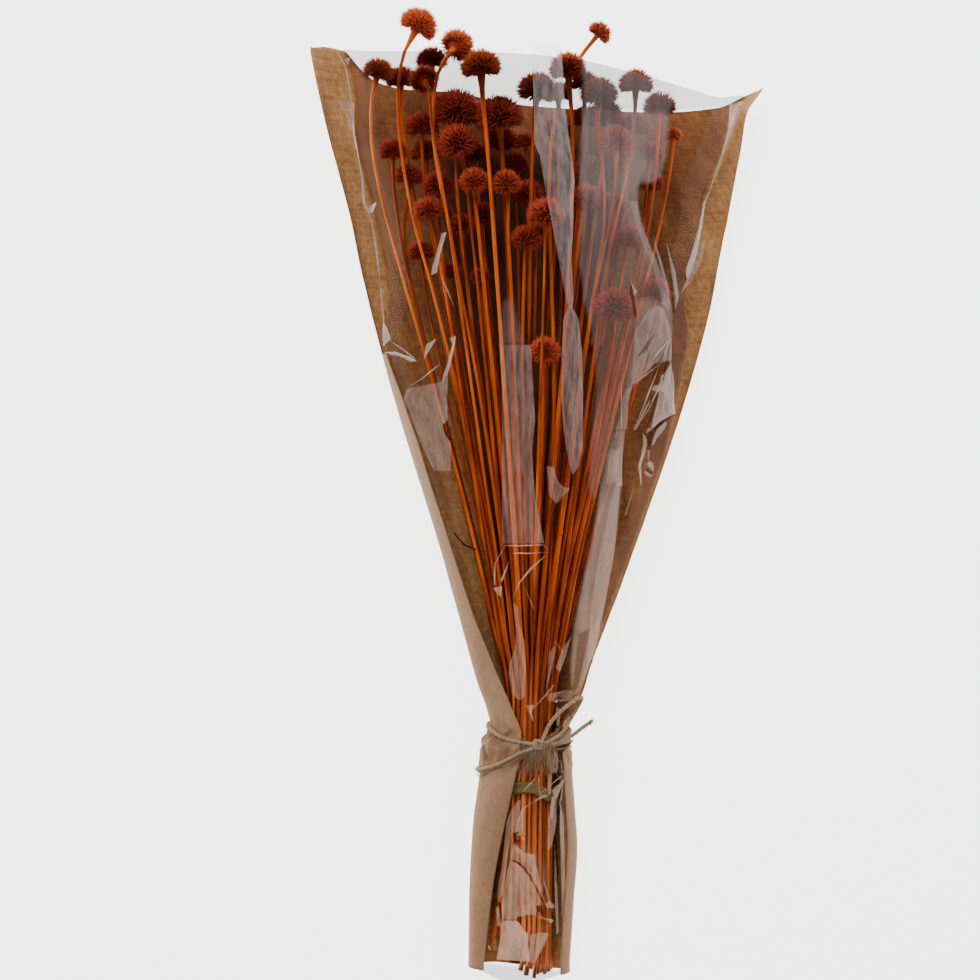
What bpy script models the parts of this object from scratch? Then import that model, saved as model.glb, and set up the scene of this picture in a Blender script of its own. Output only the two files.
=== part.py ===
"""Dried flower bouquet in a flower sleeve of kraft paper and clear film, lying on its paper back.

The bunch lies along Y with its heads at +Y, X runs across it and Z is up. Sizes below are millimetres,
and the meshes are made in metres. Every flower is one loft: a stem that follows the shared heights along Y,
a flared neck, and a domed head whose bristles stand out as relief.
"""
import math

import bmesh
import bpy
import numpy as np

MM = 0.001
MERGE = 0.00001
COLLECTION = "dried flower bouquet"

# The whole bunch is moved by this much, so that its box is centred over the origin.
CENTRE_X = 0.53
CENTRE_Y = -2.05

# Places of heads and edges are given as they show from a point straight above, at this height and place.
# A piece that lies above or below SEEN_LEVEL is moved in or out on its line of sight.
EYE_HEIGHT = 1250.0
EYE_X = -29.0
EYE_Y = 3.0
SEEN_LEVEL = 40.0

# Gaps and wall thicknesses.
GAP = 0.25
SEAT_GAP = 0.35
PAPER_THICKNESS = 0.8
FILM_THICKNESS = 0.6
LAYER_STEP = PAPER_THICKNESS + SEAT_GAP

# The sleeve, from its bottom edge to its top edge: (height along Y, value).
LEFT_EDGE = [(-294, -42.5), (-255, -42), (-223, -40.5), (-199, -38.5), (-174, -35.5), (-158, -34.5),
             (-146, -29), (-132, -32), (-120, -36.5), (-93, -43.5), (-62, -52), (-21, -64), (15, -75),
             (64, -89), (94, -97), (143, -109), (173, -115), (208, -124), (242, -132.5), (278, -140)]
RIGHT_EDGE = [(-294, 20.5), (-255, 23), (-220, 25), (-199, 24), (-173, 22), (-147, 19), (-126, 27.5),
              (-103, 35), (-83, 42.5), (-60, 51), (32, 83), (83, 98.5), (121, 108), (155, 114),
              (182, 119.5), (218, 126), (240, 130), (252, 138), (256, 140.2)]
EDGE_LEVEL = [(-294, 15), (-200, 16), (-147, 18), (-90, 17), (0, 15), (120, 14), (210, 17), (278, 25)]
FLOOR_LEVEL = [(-294, 0), (-235, 0), (-195, 2.6), (-130, 2.9), (-90, 1.2), (-55, 0), (278, 0)]
# The film leaves the paper along a line this far inside each edge.
LEFT_MARGIN = [(-294, 1.2), (70, 1.2), (100, 3), (127, 12), (150, 14), (213, 14), (263, 21), (278, 18)]
RIGHT_MARGIN = [(-294, 1.2), (20, 1.2), (60, 4), (100, 8), (130, 17), (158, 14), (183, 16), (225, 9),
                (252, 6)]
FILM_CROWN = [(-294, 31), (-235, 33), (-190, 35), (-147, 34), (-115, 36), (-60, 46), (0, 58), (60, 70),
              (120, 80), (180, 86), (240, 87), (278, 84)]
# How square the section is: 1 is an ellipse, and less is fuller at the sides.
SECTION_POWER = [(-294, 1.0), (-100, 1.0), (60, 0.8), (278, 0.7)]
BACK_POWER = [(-294, 1.0), (-100, 1.0), (20, 1.5), (278, 1.8)]
# A fuller back is drawn deeper by this share, and the table presses it flat.
BACK_FULLNESS = 0.25
# Top edges, from left to right: (place across as a share of the width, height along Y).
PAPER_TOP = [(0.0, 281.0), (0.03, 282.5), (0.07, 281.0), (0.1, 272.0), (0.13, 264.0), (0.2, 258.8),
             (0.31, 257.0), (0.4, 251.6), (0.5, 248.0), (0.8, 244.3), (0.93, 246.5), (0.97, 252.5),
             (1.0, 255.5)]
FILM_TOP = [(0.0, 276.0), (0.04, 272.0), (0.1, 268.4), (0.2, 265.8), (0.45, 262.2), (0.55, 259.3),
            (0.65, 253.8), (0.85, 243.8), (0.93, 241.5), (1.0, 246.0)]
# The paper's left margin lies over the film up to this line, as (height, place of its free edge).
STRIP_TOP = 89.0
STRIP_EDGE = [(-294, -32.5), (-243, -26.5), (-217, -22), (-182, -14.5), (-163, -10.5), (-150, -9.5),
              (-131, -16), (-110, -25), (-77, -37.5), (-30, -53.5), (4, -65), (40, -76.5), (89, -95)]
FREE_TURN = 0.35
FOOT_BLEND = 6.0
FOOT_LIFT = 1.7
# Below this height the paper's right margin is turned over the front too.
RIGHT_WRAP_TOP = -147.0
RIGHT_WRAP_TURN = 0.62
TURN_STEP = 0.01

# Rows of the sheets. A row within ROW_SLACK of a height counts as being at that height.
SLEEVE_ROWS = [-300, -268, -240, -218, -198, -182, -167, -155, -147, -136, -118, -98, -75, -50, -25, 0, 30,
               60, 89, 118, 145, 175, 205]
ROW_SLACK = 1.0
TOP_SHARES = [0.4, 0.75, 1.0]
STRIP_COLUMNS = 3
FRONT_COLUMNS = 8
WRAP_COLUMNS = 2
BACK_COLUMNS = 11

# Heights of the rings that all the stems share.
STEM_ROWS = [-305, -280, -250, -205, -170, -147, -120, -88, -48, 0, 48, 92, 132, 166, 196, 226, 260]
STEM_SIDES = 5
# Where the first corner of a ring lies, as a share of a side.
FIRST_SIDE = 0.25
STEM_RADIUS = [(-305, 1.85), (-222, 1.75), (-147, 1.66), (0, 1.85), (150, 2.05), (290, 2.15)]
# The bundle of stems from the cut ends to where they spread: half width, half depth and middle.
BUNDLE_HALF_WIDTH = [(-305, 25.5), (-262, 24), (-222, 22.5), (-190, 20), (-147, 19.5), (-124, 21),
                     (-98, 27), (-68, 34), (-32, 44)]
BUNDLE_HALF_DEPTH = [(-305, 12), (-222, 12.8), (-190, 13), (-147, 13), (-124, 13.5), (-98, 15),
                     (-68, 18), (-32, 21)]
BUNDLE_MIDDLE_X = [(-305, -8), (-222, -6), (-190, -5.2), (-147, -4.8), (-124, -3), (-98, -2), (-32, -1)]
BUNDLE_MIDDLE_Z = [(-305, 15.2), (-222, 16.4), (-190, 18.0), (-147, 18.2), (-124, 18.6), (-98, 19),
                   (-68, 20), (-32, 23)]
# The stems' middles lie within this share of the bundle's half width and depth.
BUNDLE_FILL = 0.86
# The stems run as a bundle up to the neck, and then turn into straight lines over NECK_LENGTH.
NECK_ROW = -147.0
NECK_LENGTH = 50.0
# Where the stems are cut, across the bundle from left to right.
CUT_ENDS = [(-1.0, -286), (-0.55, -277), (-0.1, -279), (0.3, -297), (1.0, -302)]
CUT_SCATTER = 4.0
LOWEST_CUT = -303.0
SEED = 7

# Each flower: across and along as seen, height above the table, width of the head, how far the stem bows
# out below the head (to the right, and to the front), and the head's nod in degrees towards the front.
FLOWERS = [
    (-73, 291, 50, 22.5, -22, 0, 10),
    (-50, 278, 56, 20.0, -22, 0, -40),
    (-65, 269, 32, 17.5, -4, 0, 10),
    (-70, 257, 58, 17.5, 4, 5, -50),
    (-98, 262, 43, 18.5, -15, 0, 15),
    (-84, 257, 26, 18.5, -6, 0, 10),
    (-35, 265, 66, 23.5, 0, 2, 5),
    (-55, 239, 50, 27.0, -4, 0, 20),
    (-66, 228, 40, 18.5, -4, 0, 15),
    (-48, 219, 62, 22.5, 4, 2, 35),
    (-86, 212, 36, 16.0, -6, 0, 20),
    (-79, 197, 30, 16.0, -8, 0, 15),
    (-69, 212, 24, 17.5, -4, 0, 15),
    (-62, 192, 44, 17.5, -5, 0, 30),
    (-66, 176, 48, 17.5, 2, 2, 25),
    (-25, 234, 50, 26.0, 2, 0, 15),
    (-22, 219, 30, 20.0, 0, 0, 20),
    (-7, 218, 46, 12.5, 4, 0, 10),
    (-39, 194, 58, 17.0, -2, 0, 40),
    (-19, 193, 60, 17.0, 2, 0, 35),
    (-38, 213, 28, 16.0, 0, 0, 20),
    (0, 250, 56, 22.0, -3, 0, 20),
    (13, 248, 34, 16.0, 4, 0, 15),
    (19, 264, 60, 21.0, 5, 2, 20),
    (29, 255, 40, 16.0, 4, 0, 15),
    (39, 286, 48, 15.0, -24, 0, 15),
    (43, 248, 56, 21.0, 2, 0, 20),
    (38, 234, 34, 20.0, 0, 0, 15),
    (62, 254, 54, 19.5, 4, 0, 5),
    (74, 239, 46, 18.5, 4, 0, -10),
    (84, 222, 40, 12.5, 6, 0, 0),
    (60, 228, 34, 17.5, 2, 0, 15),
    (48, 218, 60, 21.0, 6, 2, 20),
    (70, 210, 38, 16.0, 3, 0, 15),
    (70, 193, 28, 16.0, 3, 0, 15),
    (33, 202, 30, 17.5, 0, 0, 15),
    (28, 233, 22, 17.5, 2, 0, 15),
    (33, 184, 50, 17.5, -3, 0, 25),
    (47, 180, 48, 17.5, 3, 0, 20),
    (56, 159, 46, 18.5, 3, 0, 20),
    (4, 173, 66, 21.0, 0, 2, 25),
    (-5, 187, 40, 17.5, 0, 0, 20),
    (-6, 158, 54, 17.5, -3, 0, 30),
    (47, 116, 52, 23.5, 4, 2, 25),
    (36, 91, 40, 12.5, 3, 0, 20),
    (5, 89, 46, 18.5, 0, 0, 35),
    (73, 125, 36, 17.5, 4, 0, 20),
    (69, 101, 28, 15.0, 4, 0, 15),
    (-72, 150, 30, 15.0, -3, 0, 15),
    (-35, 135, 34, 12.0, 0, 0, 20),
    (-53, 138, 28, 13.5, -2, 0, 15),
    (-45, 167, 36, 16.0, -2, 0, 20),
    (-35, 173, 26, 17.5, 0, 0, 20),
    (15, 226, 20, 17.5, 2, 0, 15),
    (-13, 204, 18, 17.5, 0, 0, 15),
    (15, 145, 22, 16.0, 2, 0, 15),
]
# A bow is widest this far below the head, and it is full this far above the neck.
BOW_LENGTH = 72.0
BOW_START = 60.0
# Half width, middle and half depth of the fan of heads, from which each stem gets its place in the neck.
FAN_WIDTH = 96.0
FAN_MIDDLE_Z = 42.0
FAN_DEPTH = 26.0
# A head points along this much of its stem's end, and the last shared ring is at least COLLAR_ROOM below
# its collar.
AIM_LENGTH = 14.0
COLLAR_ROOM = 9.0

# The head's rings: place on its axis, radius and how far every second point stands out, in head radii.
HEAD_SIDES = 10
HEAD_RINGS = [(0.10, 0.80, 0.0), (0.36, 0.86, 0.18), (0.80, 0.66, 0.18), (1.08, 0.34, 0.16)]
HEAD_TOP = 1.26
HEAD_BASE_RADIUS = 0.33
HEAD_CORE = 0.2
HEAD_MIDDLE = 0.40
HEAD_REACH = 1.07
WIDTH_TO_RADIUS = 2.08
COLLAR_LENGTH = 1.15

# Settling of the stems and heads beside each other. Each round, the parts that cross are moved by these
# shares of their overlap, and the sleeve moves a stem by at most STEM_PUSH and a head by HEAD_PUSH.
STEM_SHARE = 0.5
STEM_YIELD = 0.75
HEAD_YIELD = 0.06
HEAD_SHARE = 0.5
HEAD_PACE = 0.8
STEM_PACE = 1.1
PACE_FLOOR = 0.1
STEM_PUSH = 6.0
HEAD_PUSH = 5.0
# Points round a head's ball at which it is tested against the sleeve: along the bunch, and turned round it.
BALL_STEPS = (-0.6, 0.0, 0.6)
BALL_TURNS = (-1.2, -0.6, 0.0, 0.6, 1.2)
# Fine heights at which the stems are compared: half a step apart up to CUTS_TOP.
SETTLE_STEP = 5.0
CUTS_TOP = -260.0
# Rounds, the share of them in which pieces are still drawn home and evened out, and how often and how far
# off neighbours are looked for.
SETTLE_ROUNDS = 480
LOOSE_SHARE = 0.6
SEARCH_EVERY = 12
SEARCH_MARGIN = 3.0
SMOOTHING = 0.45
LAST_SMOOTHING = 0.1
# A stem that leans is wider in the section across the bunch, and one with five sides reaches less than a
# round one.
MOST_LEAN = 0.6
PENTAGON_REACH = 0.953
# How strongly heads are drawn home, and the bundle to its middle below BUNDLE_TOP.
HOLD_ACROSS = 0.10
HOLD_LEVEL = 0.02
GATHER = 0.012
BUNDLE_TOP = -60.0
# The table of the room in the sleeve: half width and step.
ROOM_HALF = 150.0
ROOM_STEP = 2.0
# The fine heights end above the tallest head's base, and above FILM_END no film holds the stems down.
TALLEST_BASE = 300.0
FILM_END = 268.0
OPEN_LEVEL = 200.0

# The brown band round the stems.
BAND_HEIGHT = -183.0
BAND_DROP = 6.0
BAND_WIDTH = 8.0
BAND_THICKNESS = 0.8
BAND_GAP = 0.6
BAND_RISE = 0.3
BAND_POINTS = 24

# The jute twine. Each strand's points are (turn round the sleeve, height along Y, lift off the sleeve). The
# turn is 0 at the left edge and pi at the right edge over the front, and it is negative behind the sleeve.
TWINE_RADIUS = 1.15
TWINE_GAP = 0.45
FRAY_RADIUS = 0.6
STRAND_STEP = 6.6
KNOT_STEPS = 12
SEAT_TURN = 0.05
KNOT = (1.85, -155.0, 0.5)
KNOT_SIZE = (4.4, 3.4, 2.6)
KNOT_SIDES = 10
KNOT_RINGS = 6
UPPER_TURN = [(1.85, -155, 0.5), (1.3, -153, 0), (0.8, -150, 0), (0.3, -146.2, 0), (-0.3, -145, 0),
              (-1.5, -145.2, 0), (-2.8, -147.5, 0), (-3.4, -149, 0), (-3.9, -152, 0), (-4.43, -155, 0.5)]
LOWER_TURN = [(1.85, -156, 0.5), (1.45, -160, 0), (1.05, -166, 0), (0.6, -170.5, 0), (0.2, -172.5, 0),
              (-0.3, -173, 0), (-1.5, -166, 0), (-2.6, -158, 0), (-3.2, -155, 0), (-3.7, -154.5, 0),
              (-4.1, -155.5, 0.2), (-4.43, -156, 0.5)]
BOW_LOOP = [(1.9, -154, 1.0), (2.0, -146, 0.6), (2.15, -139, 0), (2.4, -131.5, 0), (2.7, -127, 0),
            (2.95, -127.5, 0), (2.98, -133, 0), (2.8, -140, 0.4), (2.5, -147, 1.6), (2.15, -152, 1.8),
            (1.9, -155, 1.2)]
LOOSE_END = [(1.95, -155, 0.6), (2.3, -154, 1.8), (2.6, -151.5, 3.4), (2.75, -148, 7), (2.8, -144.5, 11),
             (2.82, -141, 15)]
FRAYS = [[(1.85, -157, 0.4), (1.62, -164, 0), (1.5, -171, 0)],
         [(1.85, -157, 0.4), (1.8, -166, 0), (1.78, -175, 0)],
         [(1.9, -157, 0.4), (2.0, -165, 0), (2.08, -171, 0)]]


def curve(knots, place):
    """Value at a place on a smooth line through the knots that rises and falls only as they do.

    Each span is a cubic. The slope at a knot is the harmonic mean of the slopes beside it, or nought where
    they differ in sign.
    """
    at, value = np.array(knots, float).T
    span = np.diff(at)
    grade = np.diff(value) / span
    before, after = grade[:-1], grade[1:]
    both = before + after
    mean = np.where(before * after > 0.0, 2.0 * before * after / np.where(both == 0.0, 1.0, both), 0.0)
    slope = np.concatenate([grade[:1], mean, grade[-1:]])
    place = np.clip(np.asarray(place, float), at[0], at[-1])
    i = np.clip(np.searchsorted(at, place, side="right") - 1, 0, len(at) - 2)
    t = (place - at[i]) / span[i]
    ends = (2 * t**3 - 3 * t**2 + 1) * value[i] + (3 * t**2 - 2 * t**3) * value[i + 1]
    turns = (t**3 - 2 * t**2 + t) * slope[i] + (t**3 - t**2) * slope[i + 1]
    return ends + turns * span[i]


def true_across(seen, level):
    """Place across of a point at a level above the table, from where it shows from above."""
    return EYE_X + (seen - EYE_X) * (EYE_HEIGHT - level) / (EYE_HEIGHT - SEEN_LEVEL)


def true_along(seen, level):
    """Place along the bunch of a point at a level above the table, from where it shows from above."""
    return EYE_Y + (seen - EYE_Y) * (EYE_HEIGHT - level) / (EYE_HEIGHT - SEEN_LEVEL)


def left_edge(y):
    """The sleeve's left edge, on the outside of the paper."""
    return true_across(curve(LEFT_EDGE, y), curve(EDGE_LEVEL, y))


def right_edge(y):
    """The sleeve's right edge, on the outside of the paper."""
    return true_across(curve(RIGHT_EDGE, y), curve(EDGE_LEVEL, y))


def trough(share, y):
    """Height of the paper's outer face at a share of its width: a trough that is pressed flat below."""
    edge = curve(EDGE_LEVEL, y)
    floor = curve(FLOOR_LEVEL, y)
    power = curve(BACK_POWER, y)
    depth = (edge - floor) * (1.0 + BACK_FULLNESS * (power - 1.0))
    off = np.abs(2.0 * share - 1.0)
    return np.maximum(edge - depth * np.sqrt(1.0 - off**(2.0 * power)), floor)


def back_share(column):
    """Share of the width at a column of the back; the columns lie closer together near the edges."""
    return 0.5 * (1.0 - np.cos(math.pi * column / BACK_COLUMNS))


def back_level(x, y):
    """Height of the paper's outer face under a point, on the flat between two columns."""
    left = left_edge(y)
    share = np.clip((x - left) / (right_edge(y) - left), 0.0, 1.0)
    column = np.clip(np.floor(np.arccos(1.0 - 2.0 * share) * BACK_COLUMNS / math.pi), 0, BACK_COLUMNS - 1)
    before, after = back_share(column), back_share(column + 1)
    part = (share - before) / (after - before)
    return trough(before, y) * (1.0 - part) + trough(after, y) * part


def film_foot(y, side):
    """Foot of the film's outer face at the left (-1) or right (+1) side.

    It stands on the paper where the margin is wide, and inside the paper's turn where there is none.
    """
    margin = curve(LEFT_MARGIN if side < 0 else RIGHT_MARGIN, y)
    if side < 0:
        x = left_edge(y) + np.maximum(margin, LAYER_STEP)
    else:
        x = right_edge(y) - np.maximum(margin, LAYER_STEP)
    wide = np.clip((margin - LAYER_STEP) / FOOT_BLEND, 0.0, 1.0)
    return x, wide * (back_level(x, y) + FOOT_LIFT) + (1.0 - wide) * curve(EDGE_LEVEL, y)


def front_point(turn, y):
    """Film's outer face at a turn from 0 at its left foot to pi at its right foot."""
    left_x, left_z = film_foot(y, -1)
    right_x, right_z = film_foot(y, 1)
    power = curve(SECTION_POWER, y)
    cosine = np.cos(turn)
    share = 0.5 * (1.0 - np.sign(cosine) * np.abs(cosine)**power)
    base = left_z + (right_z - left_z) * share
    crown = curve(FILM_CROWN, y) - base
    x = left_x + (right_x - left_x) * share
    return x, base + crown * np.abs(np.sin(turn))**power


def front_level(x, y):
    """Height of the film's outer face over a point."""
    left_x, _ = film_foot(y, -1)
    right_x, _ = film_foot(y, 1)
    share = np.clip((x - left_x) / (right_x - left_x), 0.0, 1.0)
    signed = 1.0 - 2.0 * share
    cosine = np.sign(signed) * np.abs(signed)**(1.0 / curve(SECTION_POWER, y))
    return front_point(np.arccos(np.clip(cosine, -1.0, 1.0)), y)[1]


def front_turn(x, y):
    """Turn round the film at which its outer face stands over a place across."""
    left_x, _ = film_foot(y, -1)
    right_x, _ = film_foot(y, 1)
    signed = 1.0 - 2.0 * np.clip((x - left_x) / (right_x - left_x), 0.0, 1.0)
    return np.arccos(np.sign(signed) * np.abs(signed)**(1.0 / curve(SECTION_POWER, y)))


def outward(turn, y):
    """Unit vector pointing out of the film's face in the section across the bunch."""
    x0, z0 = front_point(np.clip(turn - TURN_STEP, 0.0, math.pi), y)
    x1, z1 = front_point(np.clip(turn + TURN_STEP, 0.0, math.pi), y)
    length = np.hypot(x1 - x0, z1 - z0)
    return -(z1 - z0) / length, (x1 - x0) / length


def row_heights(top_knots, share):
    """Heights of one column's rows: the shared rows, and above them rows that lead to the top edge."""
    top = curve(top_knots, share)
    return np.append(SLEEVE_ROWS, SLEEVE_ROWS[-1] + (top - SLEEVE_ROWS[-1]) * np.array(TOP_SHARES))


def strip_turns(y):
    """Turns of the film's columns under the paper strip, from its left foot to the strip's free edge."""
    level = curve(FILM_CROWN, y)
    free_edge = true_across(curve(STRIP_EDGE, y), level)
    reach = np.where(y < STRIP_TOP - ROW_SLACK, front_turn(free_edge, y), FREE_TURN)
    reach = np.where(np.abs(y - STRIP_TOP) < ROW_SLACK, 0.0, reach)
    return [reach * j / STRIP_COLUMNS for j in range(STRIP_COLUMNS + 1)]


def front_turns(y):
    """Turns of all the film's columns, left to right."""
    strip = strip_turns(y)
    reach = np.where(np.abs(y - RIGHT_WRAP_TOP) < ROW_SLACK, 0.0, RIGHT_WRAP_TURN)
    wrap_start = math.pi - reach
    middle = [strip[-1] + (wrap_start - strip[-1]) * j / FRONT_COLUMNS for j in range(1, FRONT_COLUMNS)]
    wrap = [wrap_start + reach * j / WRAP_COLUMNS for j in range(WRAP_COLUMNS + 1)]
    return strip + middle + wrap


def film_grid():
    """Points of the film's outer face as columns of rows, from right to left, so that it faces out."""
    columns = []
    count = STRIP_COLUMNS + FRONT_COLUMNS + WRAP_COLUMNS
    for j in range(count + 1):
        y = row_heights(FILM_TOP, j / count)
        x, z = front_point(front_turns(y)[j], y)
        columns.append(np.stack([x, y, z], axis=1))
    return np.array(columns[::-1])


def paper_grid():
    """Points of the paper's outer face, from the strip's free edge round the back to the right wrap."""
    columns = []
    for j in range(STRIP_COLUMNS, 0, -1):
        y = row_heights(PAPER_TOP, 0.0)
        turn = strip_turns(y)[j]
        x, z = front_point(turn, y)
        out_x, out_z = outward(turn, y)
        on_strip = y < STRIP_TOP - ROW_SLACK
        edge_x, edge_z = left_edge(y), curve(EDGE_LEVEL, y)
        x = np.where(on_strip, x + out_x * LAYER_STEP, edge_x)
        z = np.where(on_strip, z + out_z * LAYER_STEP, edge_z)
        columns.append(np.stack([x, y, z], axis=1))
    for j in range(BACK_COLUMNS + 1):
        share = back_share(j)
        y = row_heights(PAPER_TOP, share)
        x = left_edge(y) + (right_edge(y) - left_edge(y)) * share
        columns.append(np.stack([x, y, trough(share, y)], axis=1))
    for j in range(1, WRAP_COLUMNS + 1):
        y = row_heights(PAPER_TOP, 1.0)
        turn = np.full_like(y, math.pi - RIGHT_WRAP_TURN * j / WRAP_COLUMNS)
        x, z = front_point(turn, y)
        out_x, out_z = outward(turn, y)
        on_wrap = y < RIGHT_WRAP_TOP - ROW_SLACK
        x = np.where(on_wrap, x + out_x * LAYER_STEP, right_edge(y))
        z = np.where(on_wrap, z + out_z * LAYER_STEP, curve(EDGE_LEVEL, y))
        columns.append(np.stack([x, y, z], axis=1))
    return np.array(columns)


def material(name, colour, roughness):
    """A plain finish of one colour."""
    made = bpy.data.materials.new(name)
    made.use_nodes = True
    shader = made.node_tree.nodes["Principled BSDF"]
    shader.inputs["Base Color"].default_value = (*colour, 1.0)
    shader.inputs["Roughness"].default_value = roughness
    shader.inputs["Metallic"].default_value = 0.0
    return made


def add_object(name, mesh, *materials):
    """Link a mesh as a named object in the bouquet's collection."""
    made = bpy.data.objects.new(name, mesh)
    for finish in materials:
        mesh.materials.append(finish)
    bpy.data.collections[COLLECTION].objects.link(made)
    return made


def placed(points):
    """Points in millimetres as metres, moved so that the whole bunch is centred over the origin."""
    return (np.asarray(points, float) - (CENTRE_X, CENTRE_Y, 0.0)) * MM


def sheet_object(name, grid, thickness, finish):
    """A sheet of triangles over a grid of columns and rows, with its wall grown inwards."""
    mesh = bmesh.new()
    columns, rows = grid.shape[:2]
    points = [[mesh.verts.new(placed(point)) for point in column] for column in grid]
    for i in range(columns - 1):
        for k in range(rows - 1):
            a, b = points[i][k], points[i + 1][k]
            c, d = points[i + 1][k + 1], points[i][k + 1]
            mesh.faces.new((a, d, b))
            mesh.faces.new((d, c, b))
    bmesh.ops.remove_doubles(mesh, verts=mesh.verts, dist=MERGE)
    bmesh.ops.dissolve_degenerate(mesh, dist=MERGE, edges=mesh.edges)
    data = bpy.data.meshes.new(name)
    mesh.to_mesh(data)
    mesh.free()
    data.shade_smooth()
    made = add_object(name, data, finish)
    wall = made.modifiers.new("wall", "SOLIDIFY")
    wall.thickness = thickness * MM
    wall.offset = -1.0
    wall.use_even_offset = True
    return made


def pairs_near(first, first_size, second, second_size, allowed):
    """Index lists of the pairs of discs that lie within reach of each other, and of their fine height."""
    found = []
    for j in range(first.shape[1]):
        gap = first[:, None, j] - second[None, :, j]
        far = np.hypot(gap[..., 0], gap[..., 1])
        there = (first_size[:, None, j] > 0.0) & (second_size[None, :, j] > 0.0) & allowed
        reach = first_size[:, None, j] + second_size[None, :, j] + SEARCH_MARGIN
        one, two = np.nonzero(there & (far < reach))
        found.append(np.stack([one, two, np.full_like(one, j)]))
    return np.concatenate(found, axis=1)


def shove(gap, need):
    """Step along each gap that would bring it up to the distance it needs."""
    far = np.hypot(gap[..., 0], gap[..., 1]) + 1e-6
    return gap / far[..., None] * np.clip(need - far, 0.0, None)[..., None]


class Room:
    """The room between the paper and the film, as tables over the fine heights and places across."""

    def __init__(self, fine):
        self.fine = fine
        self.across = np.arange(-ROOM_HALF, ROOM_HALF + 1.0, ROOM_STEP)
        x, y = np.broadcast_arrays(self.across[None, :], fine[:, None])
        self.low = back_level(x, y) + PAPER_THICKNESS + GAP
        self.high = front_level(x, y) - FILM_THICKNESS - GAP
        self.high[fine > FILM_END] = OPEN_LEVEL
        self.middle = np.stack([curve(BUNDLE_MIDDLE_X, fine), curve(BUNDLE_MIDDLE_Z, fine)], axis=1)
        self.half = np.stack([curve(BUNDLE_HALF_WIDTH, fine), curve(BUNDLE_HALF_DEPTH, fine)], axis=1)

    def levels(self, x, j):
        """Lowest and highest level for a point across at a fine height."""
        place = np.clip((x + ROOM_HALF) / ROOM_STEP, 0.0, len(self.across) - 1.001)
        k = place.astype(int)
        t = place - k
        low = self.low[j, k] * (1.0 - t) + self.low[j, k + 1] * t
        high = self.high[j, k] * (1.0 - t) + self.high[j, k + 1] * t
        return low, high

    def stems_in(self, stems, stem, there, loose):
        """Push that brings stems between paper and film, and into the bundle's ellipse below its spread."""
        j = np.broadcast_to(np.arange(len(self.fine)), there.shape)
        low, high = self.levels(stems[..., 0], j)
        rise = np.clip(low + stem - stems[..., 1], 0.0, STEM_PUSH)
        rise -= np.clip(stems[..., 1] + stem - high, 0.0, STEM_PUSH)
        push = np.zeros_like(stems)
        push[..., 1] = np.where(there, rise, 0.0)
        off = stems - self.middle[None]
        room = self.half[None] - stem[..., None]
        ratio = np.sqrt(((off / room)**2).sum(-1))
        tied = there & (self.fine < BUNDLE_TOP)[None, :]
        back = off * (1.0 / np.maximum(ratio, 1.0) - 1.0)[..., None]
        gather = -off * (GATHER * loose)
        return push + np.where(tied[..., None], back + gather, 0.0)

    def heads_in(self, heads, head_y, reach):
        """Rise or drop that brings each head between paper and film, from points round its ball."""
        change = np.zeros(len(heads))
        for step in BALL_STEPS:
            j = np.clip(np.searchsorted(self.fine, head_y + reach * step), 0, len(self.fine) - 1)
            for slant in BALL_TURNS:
                size = reach * math.sqrt(1.0 - step**2)
                low, high = self.levels(heads[:, 0] + size * math.sin(slant), j)
                rise = low + size * math.cos(slant) - heads[:, 1]
                change = np.maximum(change, np.clip(rise, 0.0, HEAD_PUSH))
                drop = heads[:, 1] + size * math.cos(slant) - high
                change = np.where(drop > 0.0, -np.clip(drop, 0.0, HEAD_PUSH), change)
        return change


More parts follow.
